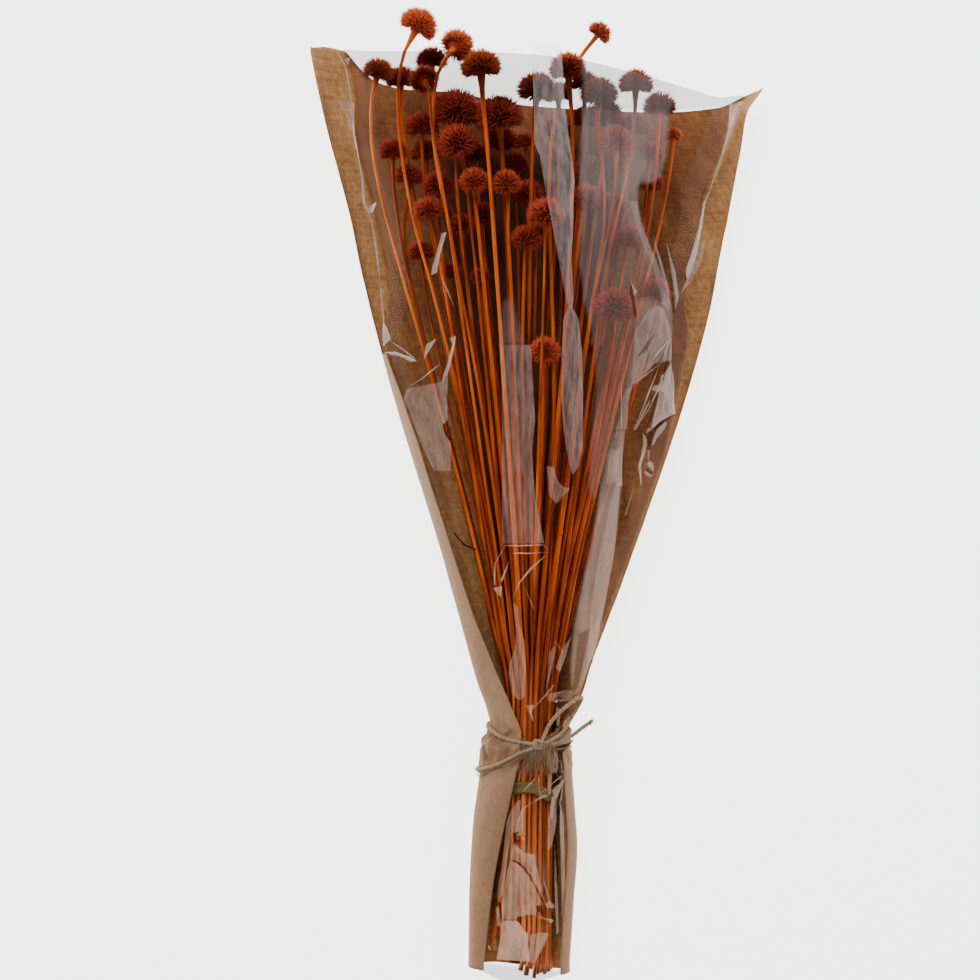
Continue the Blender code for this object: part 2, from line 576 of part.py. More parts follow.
class Bunch:
    """All the flowers' centre lines on shared rows, with each head as the last control point."""

    def __init__(self):
        self.rows = np.array(STEM_ROWS, float)
        self.count = len(FLOWERS)
        self.heads = np.array(FLOWERS, float)
        self.radius = self.heads[:, 3] / WIDTH_TO_RADIUS
        self.level = self.heads[:, 2]
        self.head_x = true_across(self.heads[:, 0], self.level)
        self.head_y = true_along(self.heads[:, 1], self.level)
        self.lay_slots()
        self.aim_heads()
        self.lay_stems()

    def lay_slots(self):
        """Give each stem its place in the neck, in the order in which the heads fan out."""
        across = np.clip((self.head_x - 0.5 * self.heads[:, 4]) / FAN_WIDTH, -1.0, 1.0)
        depth = np.clip((self.level - FAN_MIDDLE_Z) / FAN_DEPTH, -1.0, 1.0)
        spread = np.sqrt(1.0 - 0.5 * across**2)
        self.slot = np.stack([across * np.sqrt(1.0 - 0.5 * depth**2), depth * spread], axis=1)
        draw = np.random.default_rng(SEED)
        scatter = draw.uniform(-CUT_SCATTER, CUT_SCATTER, self.count)
        half_step = 0.5 * SETTLE_STEP
        cut = np.maximum(curve(CUT_ENDS, self.slot[:, 0]) + scatter, LOWEST_CUT)
        self.cut = self.rows[0] + half_step * np.round((cut - self.rows[0]) / half_step)

    def bundle_point(self, y):
        """Where each stem runs in the bundle at a height along Y."""
        x = curve(BUNDLE_MIDDLE_X, y) + self.slot[:, 0] * curve(BUNDLE_HALF_WIDTH, y) * BUNDLE_FILL
        z = curve(BUNDLE_MIDDLE_Z, y) + self.slot[:, 1] * curve(BUNDLE_HALF_DEPTH, y) * BUNDLE_FILL
        return np.stack([x, z], axis=1)

    def line_point(self, y):
        """Where each stem runs between the neck and its head: straight, with a bow below the head."""
        neck = self.bundle_point(NECK_ROW)
        head = np.stack([self.head_x, self.level], axis=1)
        share = ((y - NECK_ROW) / (self.head_y - NECK_ROW))[:, None]
        below = np.clip((self.head_y - y) / BOW_LENGTH, 0.0, None)
        bow = (below * np.exp(1.0 - below) * np.clip((y - NECK_ROW) / BOW_START, 0.0, 1.0))[:, None]
        return neck + (head - neck) * share + bow * self.heads[:, 4:6]

    def aim_heads(self):
        """Each head points along the end of its stem, nodded towards or away from the front."""
        below = np.array([self.line_point(y - AIM_LENGTH)[i] for i, y in enumerate(self.head_y)])
        top = np.array([self.line_point(y)[i] for i, y in enumerate(self.head_y)])
        nod = np.radians(self.heads[:, 6])
        aside = top - below
        axis = np.stack([aside[:, 0], np.full(self.count, AIM_LENGTH), aside[:, 1]], axis=1)
        axis /= np.linalg.norm(axis, axis=1)[:, None]
        turned = axis.copy()
        turned[:, 1] = axis[:, 1] * np.cos(nod) - axis[:, 2] * np.sin(nod)
        turned[:, 2] = axis[:, 1] * np.sin(nod) + axis[:, 2] * np.cos(nod)
        self.axis = turned
        base = -HEAD_MIDDLE * self.radius
        self.base_y = self.head_y + self.axis[:, 1] * base
        self.collar_y = self.head_y + self.axis[:, 1] * (base - COLLAR_LENGTH * self.radius)
        self.base_step = self.axis[:, [0, 2]] * base[:, None]
        self.collar_step = self.axis[:, [0, 2]] * (base - COLLAR_LENGTH * self.radius)[:, None]

    def lay_stems(self):
        """Control points of all the stems on the shared rows, and the last row of each stem."""
        self.last = np.array([np.searchsorted(self.rows, y - COLLAR_ROOM) - 1 for y in self.collar_y])
        points = []
        for y in self.rows:
            blend = np.clip((y - NECK_ROW) / NECK_LENGTH, 0.0, 1.0)
            points.append(self.bundle_point(y) * (1.0 - blend) + self.line_point(max(y, NECK_ROW)) * blend)
        points.append(np.stack([self.head_x, self.level], axis=1))
        self.points = np.stack(points, axis=1)

    def fine_weights(self, fine):
        """For each fine height: shares of the control points, fixed step, and whether the stem is there."""
        weight = np.zeros((self.count, len(fine), len(self.rows) + 1))
        step = np.zeros((self.count, len(fine), 2))
        there = np.zeros((self.count, len(fine)), bool)
        for i in range(self.count):
            last = self.last[i]
            for j, y in enumerate(fine):
                if y < self.cut[i] or y > self.base_y[i]:
                    continue
                there[i, j] = True
                if y <= self.rows[last]:
                    k = min(np.searchsorted(self.rows, y, side="right") - 1, last - 1)
                    t = (y - self.rows[k]) / (self.rows[k + 1] - self.rows[k])
                    weight[i, j, k], weight[i, j, k + 1] = 1.0 - t, t
                elif y <= self.collar_y[i]:
                    t = (y - self.rows[last]) / (self.collar_y[i] - self.rows[last])
                    weight[i, j, last], weight[i, j, -1] = 1.0 - t, t
                    step[i, j] = self.collar_step[i] * t
                else:
                    t = (y - self.collar_y[i]) / (self.base_y[i] - self.collar_y[i])
                    weight[i, j, -1] = 1.0
                    step[i, j] = self.collar_step[i] * (1.0 - t) + self.base_step[i] * t
        return weight, step, there

    def sizes(self, fine, weight, step, there):
        """Radius of every stem, and of every head's ball, where each fine height cuts them."""
        path = np.einsum("njc,ncd->njd", weight, self.points) + step
        lean = np.gradient(path, fine, axis=1)
        lean = np.clip(np.hypot(lean[..., 0], lean[..., 1]), 0.0, MOST_LEAN)
        flare = (fine[None, :] - self.collar_y[:, None]) / (self.base_y - self.collar_y)[:, None]
        flare = np.clip(flare, 0.0, 1.0)
        stem = curve(STEM_RADIUS, fine)[None, :] * np.sqrt(1.0 + lean**2)
        stem = np.where(there, stem + flare * (HEAD_BASE_RADIUS * self.radius[:, None] - stem), 0.0)
        ball = (HEAD_REACH * self.radius)[:, None]**2 - (fine[None, :] - self.head_y[:, None])**2
        return stem, np.sqrt(np.clip(ball, 0.0, None))

    def settle(self):
        """Move stems and heads apart where they cross, and into the sleeve, until all lie side by side."""
        fine = np.concatenate([np.arange(self.rows[0], CUTS_TOP, 0.5 * SETTLE_STEP),
                               np.arange(CUTS_TOP, TALLEST_BASE, SETTLE_STEP)])
        weight, step, there = self.fine_weights(fine)
        target = self.points.copy()
        stem, ball = self.sizes(fine, weight, step, there)
        room = Room(fine)
        others = ~np.eye(self.count, dtype=bool)
        reach = HEAD_REACH * (self.radius[:, None] + self.radius[None, :]) + GAP
        along = self.head_y[:, None] - self.head_y[None, :]
        between = np.sqrt(np.clip(reach**2 - along**2, 0.0, None)) * others
        for turn in range(SETTLE_ROUNDS):
            loose = max(0.0, 1.0 - turn / (LOOSE_SHARE * SETTLE_ROUNDS))
            stems = np.einsum("njc,ncd->njd", weight, self.points) + step
            heads = self.points[:, -1]
            if turn % SEARCH_EVERY == 0:
                near_stems = pairs_near(stems, stem, stems, stem, np.triu(others))
                near_heads = pairs_near(np.repeat(heads[:, None], len(fine), 1), ball, stems, stem, others)
            push = np.zeros_like(stems)
            one, two, j = near_stems
            aside = shove(stems[one, j] - stems[two, j], (stem[one, j] + stem[two, j]) * PENTAGON_REACH + GAP)
            np.add.at(push, (one, j), STEM_SHARE * aside)
            np.add.at(push, (two, j), -STEM_SHARE * aside)
            one, two, j = near_heads
            aside = shove(heads[one] - stems[two, j], ball[one, j] + stem[two, j] + GAP)
            np.add.at(push, (two, j), -STEM_YIELD * aside)
            head_push = np.zeros_like(heads)
            np.add.at(head_push, one, HEAD_YIELD * aside)
            head_push += HEAD_SHARE * shove(heads[:, None] - heads[None, :], between).sum(1)
            push += room.stems_in(stems, stem, there, loose)
            touched = (np.abs(push).sum(-1) > 1e-9).astype(float)
            moved = np.einsum("njc,njd->ncd", weight, push)
            shares = np.einsum("njc,nj->nc", weight, touched)
            self.points += moved / (shares[..., None] + PACE_FLOOR) * STEM_PACE
            self.points[:, -1] += HEAD_PACE * head_push
            self.points[:, -1, 1] += room.heads_in(heads, self.head_y, self.radius * HEAD_REACH)
            home = target[:, -1] - self.points[:, -1]
            self.points[:, -1] += home * (HOLD_ACROSS * loose, HOLD_LEVEL * loose)
            if loose > LAST_SMOOTHING:
                self.smooth(target, SMOOTHING * loose)

    def smooth(self, target, amount):
        """Even out how far neighbouring control points of a stem have moved."""
        moved = self.points - target
        for i in range(self.count):
            last = self.last[i]
            chain = np.concatenate([moved[i, :last + 1], moved[i, -1:]])
            even = chain.copy()
            even[1:-1] += amount * (0.5 * (chain[2:] + chain[:-2]) - chain[1:-1])
            even[0] += amount * (chain[1] - chain[0])
            moved[i, :last + 1] = even[:-1]
        self.points = target + moved


def ring_across(centre, axis, radius, sides):
    """Ring of a slanting stem where a level across the bunch cuts it: longer along the slant."""
    slant = np.array([axis[0], 0.0, axis[2]])
    stretch = (1.0 / axis[1] - 1.0) / max(slant @ slant, 1e-9)
    points = []
    for k in range(sides):
        angle = 2.0 * math.pi * (k + FIRST_SIDE) / sides
        side = np.array([math.cos(angle), 0.0, math.sin(angle)]) * radius
        points.append(centre + side + slant * (side @ slant) * stretch)
    return points


def ring_square(centre, axis, radius, sides, relief=0.0, phase=0, core=None):
    """Ring square to an axis; every second point stands out from the core."""
    across = np.array([1.0, 0.0, 0.0]) - axis * axis[0]
    across /= np.linalg.norm(across)
    upward = np.cross(across, axis)
    points = []
    for k in range(sides):
        angle = 2.0 * math.pi * (k + FIRST_SIDE) / sides
        point = centre + (across * math.cos(angle) + upward * math.sin(angle)) * radius
        if relief and (k + phase) % 2 == 0:
            away = point - core
            point = point + away / np.linalg.norm(away) * relief
        points.append(point)
    return points


def loft(mesh, rings, tip):
    """Join rings of five or ten points into one closed skin, with a flat cap below and a tip above."""
    loops = [[mesh.verts.new(placed(point)) for point in ring] for ring in rings]
    mesh.faces.new(loops[0])
    for low, high in zip(loops, loops[1:]):
        for k in range(len(high)):
            n = (k + 1) % len(high)
            if len(low) == len(high):
                mesh.faces.new((low[k], high[k], high[n]))
                mesh.faces.new((low[k], high[n], low[n]))
            else:
                mesh.faces.new((low[k // 2], high[k], high[n]))
                if k % 2:
                    mesh.faces.new((low[k // 2], high[n], low[(k // 2 + 1) % len(low)]))
    point = mesh.verts.new(placed(tip))
    last = loops[-1]
    for k in range(len(last)):
        mesh.faces.new((last[k], point, last[(k + 1) % len(last)]))


def add_flower(bunch, index, finishes):
    """One flower as one solid: cut end, stem, flared neck, underside and bristled dome."""
    rows, points, cut = bunch.rows, bunch.points[index], bunch.cut[index]
    above = int(np.searchsorted(rows, cut, side="right"))
    share = (cut - rows[above - 1]) / (rows[above] - rows[above - 1])
    stations = [(cut, points[above - 1] * (1.0 - share) + points[above] * share)]
    stations += [(rows[k], points[k]) for k in range(above, bunch.last[index] + 1)]
    head = points[-1]
    axis = bunch.axis[index]
    radius = bunch.radius[index]
    middle = np.array([head[0], bunch.head_y[index], head[1]])
    base = middle - axis * HEAD_MIDDLE * radius
    collar = base - axis * COLLAR_LENGTH * radius
    centres = [np.array([p[0], y, p[1]]) for y, p in stations]
    rings = []
    path = centres + [collar]
    for k, centre in enumerate(centres):
        along = path[k + 1] - path[max(k - 1, 0)]
        along /= np.linalg.norm(along)
        rings.append(ring_across(centre, along, curve(STEM_RADIUS, centre[1]), STEM_SIDES))
    rings.append(ring_square(collar, axis, float(curve(STEM_RADIUS, collar[1])), STEM_SIDES))
    rings.append(ring_square(base, axis, HEAD_BASE_RADIUS * radius, STEM_SIDES))
    core = base + axis * HEAD_CORE * radius
    for phase, (place, size, relief) in enumerate(HEAD_RINGS):
        rings.append(ring_square(base + axis * place * radius, axis, size * radius, HEAD_SIDES,
                                 relief * radius, phase, core))
    mesh = bmesh.new()
    loft(mesh, rings, base + axis * HEAD_TOP * radius)
    name = f"flower_{index + 1:02d}"
    data = bpy.data.meshes.new(name)
    mesh.to_mesh(data)
    mesh.free()
    add_object(name, data, *finishes)
    head_start = 1 + 2 * STEM_SIDES * (len(centres) + 1)
    for polygon in data.polygons:
        polygon.material_index = 1 if polygon.index >= head_start else 0


def band_points(offset, side):
    """Loop round the stems: an ellipse that stands higher in front than at its sides."""
    half_width = curve(BUNDLE_HALF_WIDTH, BAND_HEIGHT) + offset
    half_depth = curve(BUNDLE_HALF_DEPTH, BAND_HEIGHT) + offset
    middle_x = curve(BUNDLE_MIDDLE_X, BAND_HEIGHT)
    middle_z = curve(BUNDLE_MIDDLE_Z, BAND_HEIGHT) + BAND_RISE
    points = []
    for k in range(BAND_POINTS):
        angle = 2.0 * math.pi * k / BAND_POINTS
        x = middle_x + half_width * math.cos(angle)
        z = middle_z + half_depth * math.sin(angle)
        y = BAND_HEIGHT + side * 0.5 * BAND_WIDTH - BAND_DROP * math.cos(angle)**2
        points.append((x, y, z))
    return points


def add_band(finish):
    """The band as a closed strip round the stems with a wall of its own thickness."""
    loops = [band_points(BAND_GAP + BAND_THICKNESS, side) for side in (1, -1)]
    mesh = bmesh.new()
    rings = [[mesh.verts.new(placed(point)) for point in loop] for loop in loops]
    for k in range(BAND_POINTS):
        n = (k + 1) % BAND_POINTS
        mesh.faces.new((rings[0][k], rings[0][n], rings[1][n]))
        mesh.faces.new((rings[0][k], rings[1][n], rings[1][k]))
    data = bpy.data.meshes.new("stem_band")
    mesh.to_mesh(data)
    mesh.free()
    made = add_object("stem_band", data, finish)
    wall = made.modifiers.new("wall", "SOLIDIFY")
    wall.thickness = BAND_THICKNESS * MM
    wall.offset = -1.0


def sleeve_point(turn, y):
    """Point on the outside of the sleeve, over the folded margins in front and on the paper behind."""
    turn = (turn + math.pi) % (2.0 * math.pi) - math.pi
    if turn >= 0.0:
        x, z = front_point(turn, y)
        out_x, out_z = outward(turn, y)
        return np.array([float(x + out_x * LAYER_STEP), float(z + out_z * LAYER_STEP)])
    share = 0.5 * (1.0 - math.cos(turn))
    left = left_edge(y)
    return np.array([float(left + (right_edge(y) - left) * share), float(trough(share, y))])


def sleeve_between(turn, y):
    """Point on the flats between two of the sleeve's rows."""
    rows = SLEEVE_ROWS
    k = int(np.searchsorted(rows, y)) - 1
    part = (y - rows[k]) / (rows[k + 1] - rows[k])
    return sleeve_point(turn, rows[k]) * (1.0 - part) + sleeve_point(turn, rows[k + 1]) * part


def twine_point(turn, y, lift, radius):
    """Middle of a strand that lies on the sleeve, or off it by its lift."""
    here = sleeve_between(turn, y)
    along = sleeve_between(turn + SEAT_TURN, y) - sleeve_between(turn - SEAT_TURN, y)
    out = np.array([-along[1], along[0]]) / np.linalg.norm(along)
    x, z = here + out * (radius + TWINE_GAP + lift)
    return np.array([x, y, z])


def strand_points(knots, radius):
    """Evenly spaced points on the smooth line through a strand's own points."""
    knots = np.array(knots, float)
    order = np.arange(len(knots))
    fine = np.linspace(0.0, len(knots) - 1.0, KNOT_STEPS * len(knots))
    line = np.stack([curve(np.stack([order, knots[:, c]], axis=1), fine) for c in range(3)], axis=1)
    path = np.array([twine_point(turn, y, lift, radius) for turn, y, lift in line])
    walked = np.concatenate([[0.0], np.cumsum(np.linalg.norm(np.diff(path, axis=0), axis=1))])
    count = max(3, int(round(walked[-1] / STRAND_STEP)) + 1)
    even = np.linspace(0.0, walked[-1], count)
    return np.stack([np.interp(even, walked, path[:, c]) for c in range(3)], axis=1)


def add_strand(points, radius, collection):
    """One strand as a round tube with closed ends, made a mesh so that it can be joined."""
    line = bpy.data.curves.new("strand", "CURVE")
    line.dimensions = "3D"
    line.bevel_depth = radius * MM
    line.bevel_resolution = 2
    line.use_fill_caps = True
    spline = line.splines.new("POLY")
    spline.points.add(len(points) - 1)
    for point, place in zip(spline.points, placed(points)):
        point.co = (*place, 1.0)
    tube = bpy.data.objects.new("strand", line)
    collection.objects.link(tube)
    seen = tube.evaluated_get(bpy.context.evaluated_depsgraph_get())
    mesh = bpy.data.meshes.new_from_object(seen)
    skin = bmesh.new()
    skin.from_mesh(mesh)
    bmesh.ops.remove_doubles(skin, verts=skin.verts, dist=MERGE)
    bmesh.ops.recalc_face_normals(skin, faces=skin.faces)
    skin.to_mesh(mesh)
    skin.free()
    solid = bpy.data.objects.new("strand", mesh)
    solid.matrix_world = tube.matrix_world
    collection.objects.link(solid)
    bpy.data.objects.remove(tube, do_unlink=True)


def add_twine(finish):
    """The twine as one body: two turns, a bow loop, a loose end and a frayed tuft, joined in the knot."""
    strands = bpy.data.collections.new("twine strands")
    bpy.context.scene.collection.children.link(strands)
    for knots in (UPPER_TURN, LOWER_TURN, BOW_LOOP, LOOSE_END):
        add_strand(strand_points(knots, TWINE_RADIUS), TWINE_RADIUS, strands)
    for knots in FRAYS:
        add_strand(strand_points(knots, FRAY_RADIUS), FRAY_RADIUS, strands)
    middle = twine_point(*KNOT, TWINE_RADIUS)
    knot = bmesh.new()
    bmesh.ops.create_uvsphere(knot, u_segments=KNOT_SIDES, v_segments=KNOT_RINGS, radius=1.0)
    for vert in knot.verts:
        vert.co = placed(middle + np.array(vert.co) * KNOT_SIZE)
    data = bpy.data.meshes.new("jute_twine")
    knot.to_mesh(data)
    knot.free()
    twine = add_object("jute_twine", data, finish)
    join = twine.modifiers.new("join", "BOOLEAN")
    join.operation = "UNION"
    join.operand_type = "COLLECTION"
    join.collection = strands
    join.solver = "MANIFOLD"
    bpy.context.view_layer.update()
    joined = bpy.data.meshes.new_from_object(twine.evaluated_get(bpy.context.evaluated_depsgraph_get()))
    twine.modifiers.clear()
    twine.data = joined
    joined.shade_smooth()
    for strand in list(strands.objects):
        bpy.data.objects.remove(strand, do_unlink=True)
    bpy.data.collections.remove(strands)


def main():
    """Clear the scene and build every piece of the bouquet."""
    for old in list(bpy.data.objects):
        bpy.data.objects.remove(old, do_unlink=True)
    collection = bpy.data.collections.new(COLLECTION)
    bpy.context.scene.collection.children.link(collection)
    kraft = material("kraft paper", (0.40, 0.27, 0.16), 0.85)
    film = material("clear film", (0.85, 0.85, 0.87), 0.08)
    stem = material("rust stem", (0.45, 0.12, 0.02), 0.6)
    bristle = material("rust bristle", (0.12, 0.018, 0.008), 0.9)
    brown = material("brown band", (0.22, 0.13, 0.05), 0.7)
    jute = material("jute", (0.30, 0.20, 0.11), 0.9)
    sheet_object("kraft_paper", paper_grid(), PAPER_THICKNESS, kraft)
    sheet_object("clear_film", film_grid(), FILM_THICKNESS, film)
    bunch = Bunch()
    bunch.settle()
    for index in range(bunch.count):
        add_flower(bunch, index, (stem, bristle))
    add_band(brown)
    add_twine(jute)


main()
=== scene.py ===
"""Dried flower bouquet in a sleeve of kraft paper and clear film, tied with jute twine.

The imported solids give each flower's line, head and size. The paper, film, twine and band repeat the sleeve's
own curves, with creases and fibres added. Lengths inside are millimetres, and meshes are made in metres.
The bunch lies along Y with its heads at +Y, X runs across it and Z is up.
"""
import math

import bmesh
import bpy
import numpy as np
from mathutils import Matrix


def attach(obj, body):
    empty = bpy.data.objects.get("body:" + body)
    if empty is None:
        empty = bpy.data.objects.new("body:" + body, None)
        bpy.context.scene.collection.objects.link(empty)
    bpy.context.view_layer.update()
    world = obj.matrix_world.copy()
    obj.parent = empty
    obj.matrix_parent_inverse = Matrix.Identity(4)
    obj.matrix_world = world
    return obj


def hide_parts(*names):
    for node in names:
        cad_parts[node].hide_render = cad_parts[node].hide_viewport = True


bl_info = {
    "name": "Dried flower bouquet",
    "version": (1, 0, 0),
    "blender": (4, 5, 0),
    "location": "3D View > Sidebar > Bouquet",
    "description": "Makes the flowers, paper, film, twine and studio round the bouquet's packed solids",
    "category": "Add Mesh",
}

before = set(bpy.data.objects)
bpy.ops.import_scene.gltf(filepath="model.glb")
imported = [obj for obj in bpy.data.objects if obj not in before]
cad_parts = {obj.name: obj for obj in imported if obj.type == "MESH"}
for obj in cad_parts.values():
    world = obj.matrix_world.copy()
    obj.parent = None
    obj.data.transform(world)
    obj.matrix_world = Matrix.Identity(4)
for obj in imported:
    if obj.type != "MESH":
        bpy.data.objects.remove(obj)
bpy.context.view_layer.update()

MM = 0.001
# Points closer than this are one point, in metres.
MERGE = 0.00001

# The sleeve's own frame is moved by this much, as the solids are.
CENTRE_X = 0.53
CENTRE_Y = -2.05
# Places on the sleeve are given as they show from straight above, from this point.
EYE_HEIGHT = 1250.0
EYE_X = -29.0
EYE_Y = 3.0
SEEN_LEVEL = 40.0
# Width of the view in millimetres at SEEN_LEVEL, and the camera's sensor.
VIEW_WIDTH = 606.2
SENSOR = 36.0

# The sleeve, from its bottom edge to its top edge: (place along Y, value). The edges are places across.
LEFT_EDGE = [(-294, -42.5), (-255, -42), (-223, -40.5), (-199, -38.5), (-174, -35.5), (-158, -34.5),
             (-146, -29), (-132, -32), (-120, -36.5), (-93, -43.5), (-62, -52), (-21, -64), (15, -75),
             (64, -89), (94, -97), (143, -109), (173, -115), (208, -124), (242, -132.5), (278, -140)]
RIGHT_EDGE = [(-294, 20.5), (-255, 23), (-220, 25), (-199, 24), (-173, 22), (-147, 19), (-126, 27.5),
              (-103, 35), (-83, 42.5), (-60, 51), (32, 83), (83, 98.5), (121, 108), (155, 114),
              (182, 119.5), (218, 126), (240, 130), (252, 138), (256, 140.2)]
# Heights above the table of the paper's two edges and of the middle of its back.
EDGE_LEVEL = [(-294, 15), (-200, 16), (-147, 18), (-90, 17), (0, 15), (120, 14), (210, 17), (278, 25)]
FLOOR_LEVEL = [(-294, 0), (-235, 0), (-195, 2.6), (-130, 2.9), (-90, 1.2), (-55, 0), (278, 0)]
# How far inside the paper's edges the film stands, and the height of its middle.
LEFT_MARGIN = [(-294, 1.2), (70, 1.2), (100, 3), (127, 12), (150, 14), (213, 14), (263, 21), (278, 18)]
RIGHT_MARGIN = [(-294, 1.2), (20, 1.2), (60, 4), (100, 8), (130, 17), (158, 14), (183, 16), (225, 9),
                (252, 6)]
FILM_CROWN = [(-294, 31), (-235, 33), (-190, 35), (-147, 34), (-115, 36), (-60, 46), (0, 58), (60, 70),
              (120, 80), (180, 86), (240, 87), (278, 84)]
# How square the sleeve's front and back are: 1 is an ellipse.
SECTION_POWER = [(-294, 1.0), (-100, 1.0), (60, 0.8), (278, 0.7)]
BACK_POWER = [(-294, 1.0), (-100, 1.0), (20, 1.5), (278, 1.8)]
# A fuller back is drawn deeper by this share, and the table presses it flat.
BACK_FULLNESS = 0.25
# From a sheet's outer face to the outer face of the sheet that lies over it.
LAYER_STEP = 1.15
# Past this margin the film's foot stands on the paper, lifted off its outer face.
FOOT_BLEND = 6.0
FOOT_LIFT = 1.7
# Ends of the sheets, from left to right: (share of the width, place along Y).
PAPER_TOP = [(0.0, 281.0), (0.03, 283.5), (0.07, 282.0), (0.1, 271.7), (0.13, 263.8), (0.2, 258.8),
             (0.31, 257.0), (0.4, 251.6), (0.5, 248.0), (0.8, 244.3), (0.93, 246.5), (0.97, 252.5),
             (1.0, 255.5)]
FILM_TOP = [(0.0, 278.0), (0.04, 272.2), (0.1, 268.4), (0.2, 265.8), (0.45, 262.2), (0.55, 259.3),
            (0.65, 253.8), (0.85, 243.8), (0.93, 241.3), (1.0, 248.0)]
PAPER_BOTTOM = [(0.0, -297.5), (0.25, -298.0), (0.5, -300.0), (0.8, -301.5), (1.0, -300.8)]
FILM_BOTTOM = [(0.0, -296.0), (0.2, -300.0), (0.35, -303.5), (0.6, -304.0), (0.8, -302.0), (1.0, -299.0)]
# The paper's top and bottom edges as they show from above: (place across, place along).
SEEN_TOP = [(-140, 278), (-119, 274), (-106, 257), (-82, 250.5), (-50, 248.5), (-30, 244.5), (0, 240),
            (82, 236.5), (122, 240.5), (132, 249)]
SEEN_BOTTOM = [(-42, -289), (0, -292.5), (22, -295)]
# Width over which the painted glare and the painted shade past the paper fade, and how many times wider where
# a patch thins the glare.
SOFT_EDGE = 3.0
SLOW_FADE = 6.0
# The strip folded over the film: its top, and its free edge as it shows from above.
STRIP_TOP = 89.0
STRIP_EDGE = [(-294, -32.5), (-243, -26.5), (-217, -22), (-182, -14.5), (-163, -10.5), (-150, -9.5),
              (-131, -16), (-110, -25), (-77, -37.5), (-30, -53.5), (4, -65), (40, -76.5), (89, -95)]
# The right margin turned over the film: its top, how far it turns and how slowly it starts.
RIGHT_WRAP_TOP = -147.0
RIGHT_WRAP_TURN = 0.62
WRAP_RAMP = 16.0
# Where the tie gathers the film and the paper.
NECK_ROW = -147.0
PAPER_NECK_ROW = -156.0
# Folds in the film: how far the tie's gathers reach, the share of the width and the rows between which the
# right side is crumpled, the row below which the low end is, and the deepest dent.
TIE_REACH = 34.0
RIGHT_SHARE = 0.62
RIGHT_ROWS = (-140.0, 150.0)
LOW_ROW = -150.0
DEEPEST_DENT = 0.45
# Heights of the film's soft dents and gathers, and of its crumples and small crumples: everywhere, and more
# at the right, low down and near the tie.
DENT_HEIGHT = 0.35
GATHER_HEIGHT = 0.55
CRUMPLE_HEIGHTS = (0.10, 0.35, 0.28, 0.4)
SMALL_HEIGHTS = (0.03, 0.10, 0.12, 0.16)
# Folds in the paper: how far its wrinkles reach from the tie, how far it stands out there, the heights of its
# wrinkles and soft waves, and the level below which it lies on the table and only bends inwards.
WRINKLE_REACH = 15.0
GATHERED_RISE = 0.8
WRINKLE_HEIGHT = 1.25
WAVE_HEIGHT = 0.3
TABLE_LEVEL = 3.0
# Numbers of points: the film's columns and rows; the paper's strip, back, turned margin and rows.
FILM_POINTS = (170, 270)
PAPER_POINTS = (30, 104, 12, 300)
# The facets' and creases' spacing of points and their lift off the film.
FACET_STEP = 2.5
CREASE_STEP = 1.5
FACET_LIFT = 0.22
CREASE_LIFT = 0.25
# Height from which the film's height over a point is sought, in so many steps.
FIRST_LEVEL = 60.0
LEVEL_STEPS = 5
# The stems' radius along the bunch, and the bunch under the band.
STEM_RADIUS = [(-305, 1.85), (-222, 1.75), (-147, 1.66), (0, 1.85), (150, 2.05), (290, 2.15)]
BUNDLE_HALF_WIDTH = 19.95
BUNDLE_HALF_DEPTH = 13.0
BUNDLE_MIDDLE = (-5.1, 18.4)

# How brightly each flower is dyed, darkened by painted shade where it lies deep in the bunch: 0 is nearly
# black, and 1 is bright orange.
TONES = (0.95, 0.90, 0.10, 0.80, 0.95, 0.60, 1.00, 0.28, 0.15, 0.22,
         0.05, 0.25, 0.35, 0.05, 0.42, 0.28, 0.25, 0.10, 0.50, 0.50,
         0.30, 0.38, 0.25, 0.60, 0.30, 0.95, 0.40, 0.30, 0.45, 0.40,
         1.00, 0.30, 0.40, 0.22, 0.30, 0.30, 0.25, 0.36, 0.26, 0.20,
         0.48, 0.25, 0.32, 0.10, 0.20, 0.75, 0.15, 0.18, 0.25, 0.22,
         0.25, 0.28, 0.22, 0.15, 0.15, 0.20)

# Numbers of points in each solid's parts, and its proportions in head radii.
SOLID_STEM_SIDES = 5
SOLID_HEAD_POINTS = 51
COLLAR_LENGTH = 1.15
HEAD_TOP = 1.26
NECK_RADIUS = 0.23

# The head's core: (place on the axis, radius) in head radii. The first rings are its underside.
CORE_PROFILE = ((-0.04, 0.16), (0.02, 0.34), (0.06, 0.50), (0.13, 0.60), (0.26, 0.63), (0.42, 0.60),
                (0.58, 0.51), (0.72, 0.38), (0.83, 0.21), (0.88, 0.02))
CORE_SIDES = 14
# The bristles point away from this place on the axis and reach this far from it, in head radii.
AIM_PLACE = 0.26
HEAD_SWELL = 1.11

# Stems: points round them, rings along the stem and the neck, share of the solid's radius, and the length
# above the bouquet's middle over which they grow thinner, by a share.
STEM_SIDES = 10
STEM_RINGS = 58
NECK_RINGS = 9
STEM_SHARE = (0.54, 0.90)
FAN_LENGTH = 130.0
FAN_THINNING = 0.30
# Bristles: a golden angle apart, this thick in head radii, and their painted light: darker at the root and the
# middle than at the tip, as painted shade deep in the head.
GOLDEN_ANGLE = 2.399963
BRISTLE_RADIUS = 0.041
BRISTLE_LIGHT = (0.36, 0.36, 0.36, 0.74, 0.74, 0.74, 1.0)
BRISTLE_FACES = ((0, 3, 1), (1, 3, 4), (1, 4, 2), (2, 4, 5), (2, 5, 0), (0, 5, 3), (3, 6, 4), (4, 6, 5),
                 (5, 6, 3), (0, 1, 2))
# The core's painted light: the shade deep in the head, as near a bristle's root.
CORE_LIGHT = 0.42
# The dyed stem's colours as shares of its brightest colour: (tone, red, green, blue).
STEM_SHADES = ((0.0, 0.07, 0.05, 0.3), (0.35, 0.33, 0.21, 0.6), (0.7, 0.74, 0.60, 0.9), (1.0, 1.1, 1.25, 1.2))
FADED_STEM = (0.62, 0.26, 0.105)
